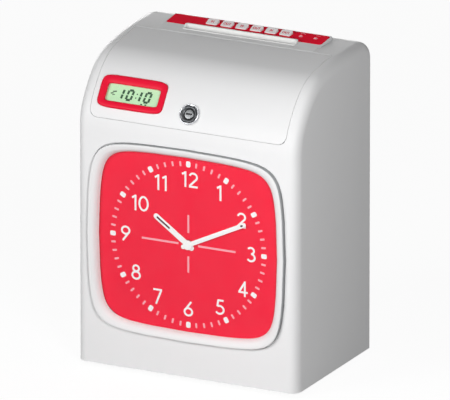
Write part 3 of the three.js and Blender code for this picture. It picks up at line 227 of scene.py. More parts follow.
# %% Boards, windings and glass
def lacquered_board(name):
    """Green lacquer over tracks: the edges of Voronoi cells, and solder pads as small dots."""
    paint = Paint(name)

    def cells(feature, scale, disorder):
        sockets = {"Vector": paint.place(), "Scale": scale, "Randomness": disorder}
        return paint.node("ShaderNodeTexVoronoi", {"feature": feature}, sockets)

    tracks, pads = cells("DISTANCE_TO_EDGE", 240.0, 0.65) < 0.08, cells("F1", 330.0, 0.25) < 0.16
    green = paint.blend(tracks, (0.012, 0.11, 0.04, 1.0), (0.03, 0.24, 0.09, 1.0))
    return paint.surface({
        "Base Color": paint.blend(pads, green, (0.62, 0.62, 0.60, 1.0)),
        "Roughness": 0.32 + paint.noise(200.0) * 0.12,
        "Metallic": pads * 0.9,
        "Normal": paint.bump(tracks + pads, 0.00004)})


def wound_core(name):
    """Bands 0.5 mm apart along X for the laminations, over a dark varnish that changes in tone."""
    paint = Paint(name)
    bands = paint.node("ShaderNodeTexWave", {"wave_type": "BANDS", "bands_direction": "X"},
                       {"Vector": paint.place(), "Scale": 320.0, "Distortion": 0.3})
    return paint.surface({
        "Base Color": paint.blend(bands, (0.10, 0.045, 0.020, 1.0), (0.34, 0.17, 0.07, 1.0)),
        "Roughness": 0.4 + paint.noise(120.0) * 0.2, "Metallic": 0.5,
        "Normal": paint.bump(bands, 0.00008)})


def crystal(name):
    """The pale green plate of a liquid crystal: a soft mottle and a satin face."""
    paint = Paint(name)
    mottle = paint.noise(420.0, 3.0)
    return paint.surface({
        "Base Color": paint.blend(mottle, (0.50, 0.80, 0.47, 1.0), (0.58, 0.87, 0.54, 1.0)),
        "Roughness": 0.36 + mottle * 0.1, "Normal": paint.bump(mottle, 0.000006)})


def clear_pane(name, alpha):
    """A thin clear pane: mostly see-through, with a gloss that dust makes a little uneven."""
    paint = Paint(name)
    dust = paint.noise(90.0, 4.0)
    return paint.surface({
        "Base Color": paint.blend(dust, (0.93, 0.95, 0.95, 1.0), (1.0, 1.0, 1.0, 1.0)),
        "Roughness": 0.03 + dust * 0.06, "Alpha": alpha + dust * 0.01, "Specular IOR Level": 0.08})


green_board = lacquered_board("green_board")
varnished_core = wound_core("varnished_core")
lcd_plate = crystal("lcd_plate")
lcd_ink = moulded("lcd_ink", (0.020, 0.075, 0.030), 0.5, 0.000004, 0.0004, 0.15, level=0.2)
clear_lens = clear_pane("clear_lens", 0.006)
clear_window = clear_pane("clear_window", 0.01)
print("boards, windings and panes ready")

# %% [markdown]
# ## Dressing the CAD parts
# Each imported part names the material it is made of. One loop gives every part the finish of its
# material, so none is left bare, and a few parts that look different from the rest of their material
# have a finish of their own. Their meshes stay as they are.

# %% Dress every CAD node by its material slot
by_slot = {
    "case_plastic": shell_white, "red_plastic": gloss_red, "red_dial": dial_red,
    "white_hands": hand_enamel, "clear_plastic": clear_lens, "lcd_glass": lcd_plate,
    "black_rubber": rubber, "black_plastic": black_plastic, "circuit_board": green_board,
    "bright_steel": sheet_steel, "chromed_metal": bright_rod, "lock_steel": dark_metal_and_painted_reflection,
    "gear_brass": machined_brass, "key_plastic": key_white, "winding_copper": varnished_core}
by_node = {"ribbon_knob": knob_red, "dial_carrier": black_plastic, "display_window": clear_window,
           "print_head": dark_metal_and_painted_reflection, "lock_cam": sheet_steel, "lock_barrel": chrome}
slot_of = {entry["node"]: entry["material_slot"] for entry in frame["record"]["subparts"]}


def dress(node):
    """Puts the finish of a CAD node's slot, or its own finish, into the node's material slots."""
    shape = frame["nodes"][node]
    for holder in shape.material_slots:
        holder.material = by_node.get(node, by_slot[slot_of[node]])


for node in frame["nodes"]:
    dress(node)
print("dressed", len(frame["nodes"]), "nodes")

# %% [markdown]
# ## Surfaces from arrays
# Each new piece is a stack of closed rings of points, worked out as whole numpy arrays in
# millimetres. Neighbouring rings are joined by four-sided faces. An open stack gets a lid at each
# end; a closed stack joins its last ring to its first, as in the ring round a dial.

# %% Rings, stacks and pieces
MM = 0.001


def stack(rings, closed=False):
    """Points and faces of a surface through rings[row, column]: point (r, c) joins (r+1, c+1)."""
    rows, columns = rings.shape[:2]
    row = np.arange(rows if closed else rows - 1)[:, None]
    column = np.arange(columns)[None, :]
    here, beside = row * columns + column, row * columns + (column + 1) % columns
    above, corner = here + columns, beside + columns
    quads = np.stack([here, beside, corner % (rows * columns), above % (rows * columns)], -1)
    faces = quads.reshape(-1, 4).tolist()
    if not closed:
        faces += [list(range(columns))[::-1], list(range((rows - 1) * columns, rows * columns))]
    return rings.reshape(-1, 3), faces


def gather(parts):
    """One part from several: their points in a row, and their faces counted on."""
    starts = np.cumsum([0] + [len(points) for points, _ in parts[:-1]])
    faces = [[int(start) + index for index in face] for start, part in zip(starts, parts) for face in part[1]]
    return np.concatenate([points for points, _ in parts]), faces


def moved(part, place):
    """A part in the clock's frame: origin + x * across + y * up + z * out."""
    origin, axes = place
    return np.asarray(part[0]) @ np.asarray(axes, float) + np.asarray(origin, float), part[1]


def raw_object(name, part):
    mesh = bpy.data.meshes.new(name)
    mesh.from_pydata((np.asarray(part[0]) * MM).tolist(), [], part[1])
    work = bmesh.new()
    work.from_mesh(mesh)
    bmesh.ops.remove_doubles(work, verts=work.verts, dist=1e-7)
    bmesh.ops.recalc_face_normals(work, faces=work.faces)
    work.to_mesh(mesh)
    work.free()
    made = bpy.data.objects.new(name, mesh)
    scene.collection.objects.link(made)
    return made


def finish_piece(made, body, material, stands_for=(), sharp=32.0):
    """Smooth shading up to a sharp angle, a finish, a body to ride on and the nodes it stands for."""
    made.data.materials.clear()
    made.data.materials.append(material)
    made.data.shade_smooth()
    made.data.set_sharp_from_angle(angle=math.radians(sharp))
    weigh = made.modifiers.new("weighted", "WEIGHTED_NORMAL")
    weigh.keep_sharp = True
    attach(made, body)
    if stands_for:
        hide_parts(*stands_for)
    print(made.name, "on", body, "with", len(made.data.polygons), "faces")
    return made


def piece(name, part, place, body, material, stands_for=(), sharp=32.0):
    return finish_piece(raw_object(name, moved(part, place)), body, material, stands_for, sharp)


def carve(made, steps):
    """Cuts parts from a piece or joins them to it, one after the other, and keeps the result."""
    tools = []
    for operation, part, place in steps:
        tool = raw_object("tool", moved(part, place))
        cut = made.modifiers.new("cut", "BOOLEAN")
        cut.operation, cut.object, cut.solver = operation, tool, "EXACT"
        tools.append(tool)
    graph = bpy.context.evaluated_depsgraph_get()
    result = bpy.data.meshes.new_from_object(made.evaluated_get(graph))
    made.modifiers.clear()
    made.data = result
    for tool in tools:
        bpy.data.objects.remove(tool)
    return made

print("surface helpers ready")

# %% [markdown]
# ## Outlines and profiles
# Most parts of such a clock are moulded, so they have one flat outline and one profile up its edge.
# These functions give the outlines (bulging, cushion-shaped, rounded), soften the corners of a
# profile, and carry one along the other. A turned part is a profile swept round its axis.

# %% Outlines and profiles
def outline_bulged(half_x, half_y, power=6.5, count=176):
    """A superellipse: |x/a|^p + |y/b|^p = 1, a rectangle with bulging sides and soft corners."""
    turn = np.linspace(0.0, 2.0 * np.pi, count, endpoint=False)
    soft = lambda value: np.sign(value) * np.abs(value) ** (2.0 / power)
    return np.stack([half_x * soft(np.cos(turn)), half_y * soft(np.sin(turn))], 1)


def outline_cushion(half_x, half_y, count=240):
    """A squarish superellipse whose sides bulge: x (1 - 0.067 (y/b)^2) and y (1 - 0.048 (x/a)^2)."""
    shape = outline_bulged(1.0, 1.0, 8.3, count)
    return shape * (1.0 - np.array([0.067, 0.048]) * shape[:, ::-1] ** 2) * np.array([half_x, half_y])


def outline_rounded(half_x, half_y, radius, corner=9, side=5):
    """A rectangle whose corners are quarter circles; each side is split evenly."""
    turn = np.radians(np.linspace(0.0, 90.0, corner))
    quarters = [(1, 1, 0.0), (-1, 1, 90.0), (-1, -1, 180.0), (1, -1, 270.0)]
    arcs = [np.stack([sx * (half_x - radius) + radius * np.cos(turn + np.radians(start)),
                      sy * (half_y - radius) + radius * np.sin(turn + np.radians(start))], 1)
            for sx, sy, start in quarters]
    share = np.linspace(0.0, 1.0, side + 2)[1:-1, None]
    runs = [arcs[i][-1] * (1 - share) + arcs[(i + 1) % 4][0] * share for i in range(4)]
    return np.concatenate([block for pair in zip(arcs, runs) for block in pair])


def softened(corners, radius, steps=6, closed=False):
    """Each corner C of a profile becomes the curve (1-t)^2 A + 2t(1-t) C + t^2 B."""
    corner = np.asarray(corners, float)
    before, after = np.roll(corner, 1, 0), np.roll(corner, -1, 0)
    reach = np.broadcast_to(np.asarray(radius, float), len(corner)).copy()
    if not closed:
        reach[[0, -1]] = 0.0
    size_before = np.linalg.norm(before - corner, axis=1)
    size_after = np.linalg.norm(after - corner, axis=1)
    near = corner + (before - corner) * (np.minimum(reach, size_before / 2) / size_before)[:, None]
    far = corner + (after - corner) * (np.minimum(reach, size_after / 2) / size_after)[:, None]
    t = np.linspace(0.0, 1.0, steps)[None, :, None]
    curve = (1 - t) ** 2 * near[:, None] + 2 * t * (1 - t) * corner[:, None] + t ** 2 * far[:, None]
    return curve.reshape(-1, 2)


def turned(profile, sides=64, closed=False):
    """A profile of (radius, height) swept round the z axis: (r cos a, r sin a, h)."""
    turn = np.linspace(0.0, 2.0 * np.pi, sides, endpoint=False)
    radius, height = np.asarray(profile, float).T
    rings = np.stack([radius[:, None] * np.cos(turn), radius[:, None] * np.sin(turn),
                      np.broadcast_to(height[:, None], (len(radius), sides))], -1)
    return stack(rings, closed)


def slab(outline, low, high):
    """An outline between two heights."""
    rings = np.stack([np.column_stack([outline, np.full(len(outline), z)]) for z in (low, high)])
    return stack(rings)


def pillow(half_x, half_y, radius, profile):
    """Rounded rectangles inset by profile[:, 0] at heights profile[:, 1], as in a key cap."""
    rings = [np.column_stack([outline_rounded(half_x - inset, half_y - inset, max(radius - inset, 0.05)),
                              np.full(4 * 14, height)]) for inset, height in profile]
    return stack(np.array(rings))


def ring_between(inner, outer, section):
    """A closed section of (share from inner to outer outline, height), carried round the outlines."""
    share, height = np.asarray(section, float).T
    flat = inner[None] * (1 - share[:, None, None]) + outer[None] * share[:, None, None]
    rings = np.concatenate([flat, np.broadcast_to(height[:, None, None], flat.shape[:2] + (1,))], -1)
    return stack(rings, closed=True)


def rounded_rim(radius, top, steps):
    """A quarter round as (inset, height) pairs: r (1 - cos a) inwards at top - r (1 - sin a)."""
    turn = np.radians(np.linspace(0.0, 90.0, steps))
    return [(radius * (1 - math.cos(a)), top - radius * (1 - math.sin(a))) for a in turn]


def shifted(part, x, y=0.0, z=0.0):
    """The part moved along its own axes."""
    return part[0] + np.array([x, y, z]), part[1]

print("outlines ready")

# %% [markdown]
# ## Places on the clock
# A place is an origin and three axes: across, up and out. With one, a piece can be drawn flat and
# then set on the front, the back, the leaning lid or the deck. The case leans back over four tangent
# arcs, so a place on the slope is found from the angle at which the surface leans there.

# %% Places on the clock
def upright_place(x, y, z):
    """Out is towards the viewer, -Y; up is +Z."""
    return (x, y, z), ((1, 0, 0), (0, 0, 1), (0, -1, 0))


def rear_place(x, y, z):
    """Out is backwards, +Y; up is +Z."""
    return (x, y, z), ((-1, 0, 0), (0, 0, 1), (0, 1, 0))


def level_place(x, y, z):
    """Out is up."""
    return (x, y, z), ((1, 0, 0), (0, 1, 0), (0, 0, 1))


FRONT, REAR, FOOT, HALF_WIDTH = -60.0, 60.0, 3.0, 90.0
SIDE_FILLET, REAR_FILLET, WALL = 8.0, 8.4, 2.5
ARCS = ((40.0, 0.0, 30.0), (88.0, 30.0, 46.0), (48.0, 46.0, 79.0), (260.0, 79.0, 90.0))


def arc_centres():
    """Each arc starts where the last one ends, with the same tangent: its centre lies on that radius."""
    centre, last, centres = np.array([FRONT, FOOT + 180.0]), 0.0, []
    for radius, start, _ in ARCS:
        angle = math.radians(start)
        centre = centre + (radius - last) * np.array([math.cos(angle), -math.sin(angle)])
        last = radius
        centres.append(centre)
    return centres


CENTRES = arc_centres()


def on_slope(degrees):
    """The depth and height of the case's surface where it leans back by this angle."""
    index = next(i for i, (_, _, stop) in enumerate(ARCS) if degrees <= stop)
    angle = math.radians(degrees)
    return CENTRES[index] + ARCS[index][0] * np.array([-math.cos(angle), math.sin(angle)])


def slope_place(x, degrees):
    """On the slope, out square to the surface."""
    angle = math.radians(degrees)
    c, s = math.cos(angle), math.sin(angle)
    y, z = on_slope(degrees)
    return (x, y, z), ((1, 0, 0), (0, s, c), (0, -c, s))


crown_y, TOP = [float(value) for value in on_slope(90.0)]
HINGE_Y, CARD_Y, KEY_ROW, NOSE, ROD = 14.0, 27.7, 41.7, 3.5, 1.5
crown_arc = ARCS[-1][0]
HINGE_Z = TOP - (crown_arc - math.sqrt(crown_arc ** 2 - (crown_y - HINGE_Y) ** 2)) - NOSE
DECK_START, DECK_END, DECK_RISE = 18.0, 49.9, 3.2
DECK_ANGLE = math.atan2(DECK_RISE, DECK_END - DECK_START)
DIAL = upright_place(0.0, FRONT, FOOT + 101.0)
HERE = level_place(0.0, 0.0, 0.0)
print("top of the case at", round(TOP, 3), "mm, hinge at", round(HINGE_Z, 3), "mm")


def deck_height(y):
    """The deck starts 0.4 mm under the crown and rises evenly to the rear."""
    return TOP - 0.4 + (y - DECK_START) * math.tan(DECK_ANGLE)


def deck_place():
    """On the raised deck, over the row of keys; out stands square to the deck."""
    c, s = math.cos(DECK_ANGLE), math.sin(DECK_ANGLE)
    return (0.0, KEY_ROW, deck_height(KEY_ROW)), ((1, 0, 0), (0, c, s), (0, -s, c))

# %% [markdown]
# ## The case
# The case is one moulding: its side outline runs up the front, leans back over four tangent arcs,
# and comes down the rear. Across the clock the same outline shrinks towards each side, which gives
# the long edges their 8 mm fillet. The surface is worked out once for the outside and once, 2.5 mm
# smaller, for the hollow. Booleans then cut the openings, because their edges cross the curved
# surface where no grid line runs.

# %% The body form
def body_form(inset, bottom, steps=10):
    """Rings across: x = 82 + f cos a, outline set in by f (1 - sin a), f being the fillet radius.

    The rear is one flat plane; the top falls to it on an arc of radius R: z = c + sqrt(R^2 - y^2).
    """
    fillet = SIDE_FILLET - inset
    turn = np.radians(np.linspace(0, 90, steps))
    half = HALF_WIDTH - SIDE_FILLET
    x = np.concatenate([-(half + fillet * np.cos(turn)), (half + fillet * np.cos(turn))[::-1]])
    inward = np.tile(inset + fillet * (1 - np.sin(turn)), 2)
    inward[steps:] = inward[:steps][::-1]
    inward = inward[:, None]
    ones = np.ones_like(inward)
    depths, heights = [FRONT + inward], [bottom * ones]
    for centre, (radius, start, stop) in zip(CENTRES, ARCS):
        angle = np.radians(np.linspace(start, stop, int((stop - start) / 1.5) + 2))[None]
        angle = angle if start == 0 else angle[:, 1:]
        depths.append(centre[0] - (radius - inward) * np.cos(angle))
        heights.append(centre[1] + (radius - inward) * np.sin(angle))
    radius = REAR_FILLET + SIDE_FILLET - inward
    depth = np.linspace(0, 1, 12)[None] ** 0.7 * (REAR_FILLET - inset)
    depths.append(REAR - REAR_FILLET + depth * np.ones_like(radius))
    heights.append(TOP - REAR_FILLET - SIDE_FILLET + np.sqrt(np.maximum(radius ** 2 - depth ** 2, 0)))
    depths.append((REAR - inset) * ones)
    heights.append(bottom * ones)
    depth, height = np.concatenate(depths, 1), np.concatenate(heights, 1)
    return stack(np.stack([np.broadcast_to(x[:, None], depth.shape), depth, height], -1))


def bar_x(radius, reach, y, z, sides=48):
    """A round bar along X, centred on the clock."""
    turn = np.linspace(0, 2 * np.pi, sides, endpoint=False)
    rings = [np.column_stack([np.full(sides, x), y + radius * np.cos(turn), z + radius * np.sin(turn)])
             for x in (-reach, reach)]
    return stack(np.array(rings))


def block(x, y, z):
    """A box between pairs of values."""
    outline = np.array([(x[0], y[0]), (x[1], y[0]), (x[1], y[1]), (x[0], y[1])], float)
    return slab(outline, *z)


LID_HALF, LID_LOW = 79.75, FOOT + 189


def lid_prism(margin):
    """The outline of the lid seen from the front, pushed back to the hinge."""
    high, low = TOP + 60, LID_LOW - margin
    outline = outline_rounded(LID_HALF + margin, (high - low) / 2, 6.5) + np.array([0, (high + low) / 2])
    return slab(outline, 0, HINGE_Y - FRONT + 4)


outside, hollow = body_form(0, FOOT), body_form(WALL, FOOT - 4)
print("body form of", len(outside[0]), "points")

# %% [markdown]
# ## What the case gains and loses
# The raised deck, two lugs for the hinge rod and the catch for the lock are joined to the shell.
# The opening under the lid, the channel for its nose, the rod's bore, the dial's opening, the groove
# round the ring and the slot are cut from it. They are listed first as steps and run later at once.

# %% The deck, the lugs and the openings of the case
def cut(part, place=HERE):
    return "DIFFERENCE", part, place


def join(part, place=HERE):
    return "UNION", part, place


def deck_form():
    """The deck's outline, drawn in over its top edge by a round of 0.8 mm."""
    half_y = (DECK_END - DECK_START) / math.cos(DECK_ANGLE) / 2
    plain = pillow(64.4, half_y, 1.2, [(0, -6)] + rounded_rim(0.8, 0, 6))
    return shifted(plain, 0, ((DECK_START + DECK_END) / 2 - KEY_ROW) / math.cos(DECK_ANGLE))


CHANNEL, LUG_START, LUG_END = 80.25, 80.55, 84.55
steps = [cut(hollow), join(deck_form(), deck_place())]
for side in (-1, 1):
    reach = sorted((side * LUG_START, side * LUG_END))
    steps.append(join(block(reach, (HINGE_Y - 4, HINGE_Y + 4), (HINGE_Z - 4, TOP - 1.9))))
catch = block((-7, 7), (FRONT + 1.25, FRONT + WALL + 8.2), (FOOT + 181.5, FOOT + 185))
nose_clear = block((-CHANNEL, CHANNEL), (HINGE_Y - NOSE, HINGE_Y + 3.75), (HINGE_Z, TOP + 4))
steps += [
    join(catch), cut(lid_prism(0.34), upright_place(0, HINGE_Y, 0)),
    cut(bar_x(5.2, CHANNEL, HINGE_Y, HINGE_Z)), cut(nose_clear),
    cut(bar_x(ROD, LUG_END + 0.25, HINGE_Y, HINGE_Z, 24)),
    cut(slab(outline_cushion(76.5, 70.7), -8, 6), DIAL),
    cut(slab(outline_cushion(80.9, 74), -1.9, 6), DIAL),
    cut(block((-45.7, 45.7), (CARD_Y - 3.5, CARD_Y + 3.5), (TOP - 8, TOP + 8)))]
print(len(steps), "steps for the case")

# %% [markdown]
# ## The case in one run
# The last steps sink the red panel's seat and its opening into the deck and open the back. Then all
# the steps run in their order, on exact Booleans, and the result stands for the CAD's case.

# %% The case itself
PANEL_FRONT, PANEL_BACK, PANEL_HALF = -9.7, 7.1, 63.3


def panel_outline(margin, radius=2):
    """The red panel's outline on the deck, grown by a margin."""
    half_y = (PANEL_BACK - PANEL_FRONT) / 2
    outline = outline_rounded(PANEL_HALF + margin, half_y + margin, radius)
    return outline + np.array([0, (PANEL_BACK + PANEL_FRONT) / 2])


COVER = rear_place(0, REAR, FOOT + 113.5)
steps += [
    cut(slab(panel_outline(0.3), -1.5, 4), deck_place()),
    cut(block((-35.5, 57.6), (-4.7, 4.7), (-10.5, 4)), deck_place()),
    cut(slab(outline_rounded(70, 98.5, 6), -6.5, 4), COVER)]
case = carve(raw_object("case_shell", outside), steps)
finish_piece(case, "root", shell_white, ["main_case"], 28)

# %% [markdown]
# ## The lid
# The lid is cut from the same body form, so its face carries on the case's surface without a step,
# with a seam of half a millimetre. A round nose along its upper edge turns on the hinge rod.

# %% The lid
LIP = 3.3
DISPLAY, LOCK = slope_place(-49, 35.7), slope_place(0, 30)
pocket = slab(outline_bulged(26.9, 13), -1.4, 6)
window_hole = block((-22.75, 22.75), (-8.65, 8.65), (-8, 6))
lid_steps = [
    cut(hollow), ("INTERSECT", lid_prism(0), upright_place(0, HINGE_Y + LIP, 0)),
    join(bar_x(NOSE, LID_HALF, HINGE_Y, HINGE_Z)), cut(bar_x(ROD, HALF_WIDTH + 5, HINGE_Y, HINGE_Z, 24)),
    cut(pocket, DISPLAY), cut(window_hole, DISPLAY), cut(turned([(5.8, -8), (5.8, 6)]), LOCK)]
lid = carve(raw_object("lid_shell", outside), lid_steps)
finish_piece(lid, "lid_unit", shell_white, ["lid"], 28)

# %% [markdown]
# ## The ring round the dial
# The ring is a shallow dish: from its foot beside the dial it climbs steeply and then ever more
# gently to a crest 3 mm in front of the case, and drops upright into a narrow groove of the case.
# It is carried between two cushion shapes, so it keeps its section round the corners. A grey band
# round its outside, under the lip of the crest, is painted shade in the groove.

# %% The dial ring
FOOT_X, FOOT_Z, RIM_X, RIM_Z = 72.8, 66.8, 79.9, 73.2


def dial_ring_section():
    """Across the ring in mm: foot, bull-nosed slope, crest, upright outside, and a skirt inside."""
    corners = [(0, -2.5), (0.8, 0), (2.7, 2.1), (5.4, 3), (6.7, 3), (7.1, 2.7), (7.1, 2.3),
               (6.7, 2.3), (6.7, -1.8), (3.4, -1.8), (3.4, -2.5)]
    rounds = [0.1, 1.2, 1.2, 0.6, 0.2, 0.2, 0.05, 0, 0.05, 0, 0.05]
    across = softened(corners, rounds, 8, closed=True)
    return across / np.array([RIM_X - FOOT_X, 1])


ring = ring_between(outline_cushion(FOOT_X, FOOT_Z), outline_cushion(RIM_X, RIM_Z), dial_ring_section())
piece("dial_ring", ring, DIAL, "root", shell_white, ["dial_bezel"], 40)
# A grey band in the groove round the ring, as painted shade.
shade_band_section = softened([(0, -1.8), (0, 2.25), (1, 2.25), (1, -1.8)], 0.05, 4, closed=True)
shade_band = ring_between(outline_cushion(79.55, 72.85), outline_cushion(79.85, 73.15), shade_band_section)
piece("ring_painted_shade", shade_band, DIAL, "root", painted_shade_grey)

# %% [markdown]
# ## The dial and its pane
# The dial is a thin plate with a hole for the arbor. It lies 3 mm behind the front of the case, so
# the ring's slope shows all round it. The pane is nearly clear and sits inside the slope. Both have
# the ring's own cushion outline, which keeps the gaps even round the corners.

# %% The dial plate and the lens
hole = outline_bulged(3.8, 3.8, 2, 240)
edge_section = softened([(0, -5), (0, -3.1), (1, -3.1), (1, -5)], 0.15, 4, closed=True)
dial = ring_between(hole, outline_cushion(73.2, 67.2), edge_section)
piece("dial_face", dial, DIAL, "root", dial_red, ["dial_plate"])
lens = slab(outline_cushion(73.4, 67.4), -0.8, -0.1)
piece("clear_front", lens, DIAL, "root", clear_lens, ["dial_lens"])

# %% [markdown]
# ## Ticks and numerals
# The dial's marks are printed ink, so they stand only a few hundredths of a millimetre proud. A
# numeral is drawn as a pen would draw it: arcs and straight strokes of one width, in the manner of a
# plain geometric typeface. Each stroke is a thin ribbon carried along its path.

# %% Pen strokes
def arc(cx, cy, rx, ry, start, stop, count=22):
    """Part of an ellipse: (cx + rx cos a, cy + ry sin a)."""
    turn = np.radians(np.linspace(start, stop, count))
    return np.stack([cx + rx * np.cos(turn), cy + ry * np.sin(turn)], 1)


def line(*points):
    return np.array(points, float)


def ribbon(path, width, low, high, closed=False):
    """Left and right of the path by half the width, along the mitre of its neighbours' normals."""
    step = np.roll(path, -1, 0) - path
    if not closed:
        step[-1] = step[-2]
    step /= np.linalg.norm(step, axis=1)[:, None]
    last = np.roll(step, 1, 0)
    if not closed:
        last[0] = step[0]
    mean = step + last
    mean /= np.linalg.norm(mean, axis=1)[:, None]
    stretch = 1 / np.maximum(np.abs((mean * step).sum(1)), 0.5)
    side = np.stack([-mean[:, 1], mean[:, 0]], 1) * (width / 2 * stretch)[:, None]
    left, right = path + side, path - side
    corners = [np.column_stack([edge, np.full(len(path), z)]) for edge, z in
               ((left, high), (right, high), (right, low), (left, low))]
    return stack(np.stack(corners, 1), closed)


def pen(*points):
    return line(*points), False


def bow(*values):
    return arc(*values), False


def loop(cx, cy, rx, ry, count=33):
    return arc(cx, cy, rx, ry, 0, 360, count)[:-1], True


SIX = [loop(0.29, 0.31, 0.235, 0.235), pen((0.47, 0.98), (0.095, 0.42))]
PEN = {
    "0": [loop(0.30, 0.5, 0.26, 0.43, 41)],
    "1": [pen((0.26, 0), (0.26, 1)), pen((0.24, 0.93), (0.05, 0.80))],
    "2": [(np.concatenate([arc(0.29, 0.70, 0.225, 0.23, 165, -38), line((0.05, 0.10))]), False),
          pen((0.02, 0.07), (0.56, 0.07))],
    "3": [bow(0.26, 0.735, 0.19, 0.195, 150, -85), bow(0.26, 0.305, 0.235, 0.235, 88, -150)],
    "4": [pen((0.40, 1), (0.40, 0)), pen((0.40, 0.93), (0.05, 0.30)), pen((0, 0.28), (0.58, 0.28))],
    "5": [pen((0.13, 0.93), (0.50, 0.93)), pen((0.17, 0.95), (0.115, 0.53)),
          bow(0.25, 0.325, 0.255, 0.255, 122, -148)],
    "6": SIX,
    "7": [pen((0.02, 0.93), (0.55, 0.93)), pen((0.51, 0.93), (0.18, 0))],
    "8": [loop(0.28, 0.745, 0.18, 0.185), loop(0.28, 0.30, 0.235, 0.23)],
    "9": [(np.array([0.58, 1]) - path, closed) for path, closed in SIX],
    "I": [pen((0.05, 0), (0.05, 1))],
    "N": [pen((0.07, 0), (0.07, 1)), pen((0.07, 0.95), (0.55, 0.05)), pen((0.55, 0), (0.55, 1))],
    "O": [loop(0.38, 0.5, 0.34, 0.43)],
    "U": [(np.concatenate([line((0.07, 1)), arc(0.30, 0.32, 0.23, 0.26, 180, 360, 15),
                           line((0.53, 1))]), False)],
    "T": [pen((0, 0.93), (0.56, 0.93)), pen((0.28, 0.93), (0.28, 0))]}
ADVANCE = {"1": 0.46, "I": 0.24, "O": 0.86, "N": 0.74}


def written(text, size, width, centre, low, high):
    """Characters side by side, centred; each stroke lies a hair higher than the one before."""
    wide, height = size
    advance = np.array([ADVANCE.get(letter, 0.70) for letter in text])
    starts = (np.cumsum(advance) - advance - (advance.sum() - 0.12) / 2) * wide
    parts, layer = [], 0
    for letter, start in zip(text, starts):
        for path, closed in PEN[letter]:
            layer += 1
            shape = path * np.array([wide, height]) + np.array([start + centre[0], centre[1] - height / 2])
            parts.append(ribbon(shape, width, low, high + 0.004 * layer, closed))
    return gather(parts)

print("pen strokes for", len(PEN), "characters")

# %% [markdown]
# ## Marks on the dial
# The numerals stand on one circle, some of them moved a little so that they look evenly spread, as
# on a printed dial. Sixty ticks are one small bar turned to all its angles in one array sum: strong
# white ones at the hours, fine pink ones between. Two broken lines cross in the middle.

# %% Numerals, ticks and cross lines
INK_LOW, INK_HIGH, NUMERAL_CIRCLE, TICK_CIRCLE = -3.12, -3.05, 50, 61.6
SHIFTED = {3: (1.4, 0), 4: (1.3, -2.3), 5: (1, -0.8), 6: (0, 0.7), 8: (0.7, -2.3), 9: (-1.2, 1.4),
           10: (3.6, 1.1), 11: (2.4, 1.1), 12: (1.1, 0)}
numbers = []
for hour in range(1, 13):
    angle, shift = math.radians(30 * hour), SHIFTED.get(hour, (0, 0))
    centre = (NUMERAL_CIRCLE * math.sin(angle) + shift[0], NUMERAL_CIRCLE * math.cos(angle) + shift[1])
    numbers.append(written(str(hour), (13.2, 11.9), 1.5, centre, INK_LOW, INK_HIGH))
piece("numerals", gather(numbers), DIAL, "root", ink_white)


def ticks(angles, length, width):
    """One rounded bar turned to all the angles at once: (x cos a + y sin a, y cos a - x sin a)."""
    bar = outline_rounded(width / 2, length / 2, width * 0.3, 4, 1) + np.array([0, TICK_CIRCLE])
    points, faces = slab(bar, INK_LOW, INK_HIGH)
    turn = np.radians(angles)[:, None]
    x = points[None, :, 0] * np.cos(turn) + points[None, :, 1] * np.sin(turn)
    y = points[None, :, 1] * np.cos(turn) - points[None, :, 0] * np.sin(turn)
    z = np.broadcast_to(points[None, :, 2], x.shape)
    return gather([(copy, faces) for copy in np.stack([x, y, z], -1)])


every = np.arange(60) * 6
piece("hour_ticks", ticks(every[::5], 4.6, 3.6), DIAL, "root", ink_white)
piece("minute_ticks", ticks(every[np.arange(60) % 5 > 0], 3.7, 1.5), DIAL, "root", ink_pink)
arms = [((-38, 0), (-8, 0)), ((8, 0), (38.5, 0)),
        ((0, 9), (0, 22.8)), ((0, -21.4), (0, -9))]
crossing = gather([ribbon(line(*ends), 1.5, INK_LOW, INK_HIGH) for ends in arms])
piece("cross_lines", crossing, DIAL, "root", ink_pink)

# %% [markdown]
# ## The hands
# The hands are white enamelled batons with a slot. Each is a closed ring between the outline of its
# slot and its own outline, with a shallow crown across. A dark maroon strip in the slot is painted
# shade for the dial seen through it, and a small domed hub covers the arbor.

# %% Hands
def bar_outline(half_width, low, high, count=24):
    """A bar with round ends between two heights: half circles joined by straight sides."""
    top = arc(0, high - half_width, half_width, half_width, 0, 180, count)
    foot = arc(0, low + half_width, half_width, half_width, 180, 360, count)
    return np.concatenate([top, foot])


def turned_to(part, degrees):
    """Clockwise from twelve: (x cos a + y sin a, y cos a - x sin a)."""
    angle, points = math.radians(degrees), part[0]
    x = points[:, 0] * math.cos(angle) + points[:, 1] * math.sin(angle)
    y = points[:, 1] * math.cos(angle) - points[:, 0] * math.sin(angle)
    return np.column_stack([x, y, points[:, 2]]), part[1]


def make_hand(name, node, body, length, width, slot, degrees, low, high):
    """The baton, its slot's strip of painted shade and its hub, turned to the time of the frame at rest."""
    crown = softened([(0, low), (0, high - 0.02), (0.5, high), (1, high - 0.16), (1, low)],
                     0.12, 4, closed=True)
    opening = bar_outline(0.7, length - 2.6 - slot, length - 2.6)
    baton = ring_between(opening, bar_outline(width / 2, -5.5, length), crown)
    hub = turned(softened([(0, low), (3.6, low), (3.6, high - 0.1), (2.4, high + 0.04),
                           (0, high + 0.06)], 0.25, 5))
    piece(name, turned_to(gather([baton, hub]), degrees), DIAL, body, hand_enamel, [node])
    # The strip in the slot is painted shade.
    slot_shade = slab(bar_outline(0.76, length - 2.66 - slot, length - 2.54), low + 0.05, low + 0.2)
    piece(name + "_slot", turned_to(slot_shade, degrees), DIAL, body, slot_painted_shade)


make_hand("hour_baton", "hour_hand", "hour_train", 33.8, 4.4, 13, 305.4, -2.6, -2.1)
make_hand("minute_baton", "minute_hand", "minute_train", 52.8, 3.4, 2.4, 64.3, -1.6, -1.1)

# %% [markdown]
# ## The display
# A glossy red frame with rounded edges sits in a pocket of the lid. Behind its pane the crystal
# shows 10:10 in leaning seven-bar figures, which are laid on the crystal as thin dark bars.

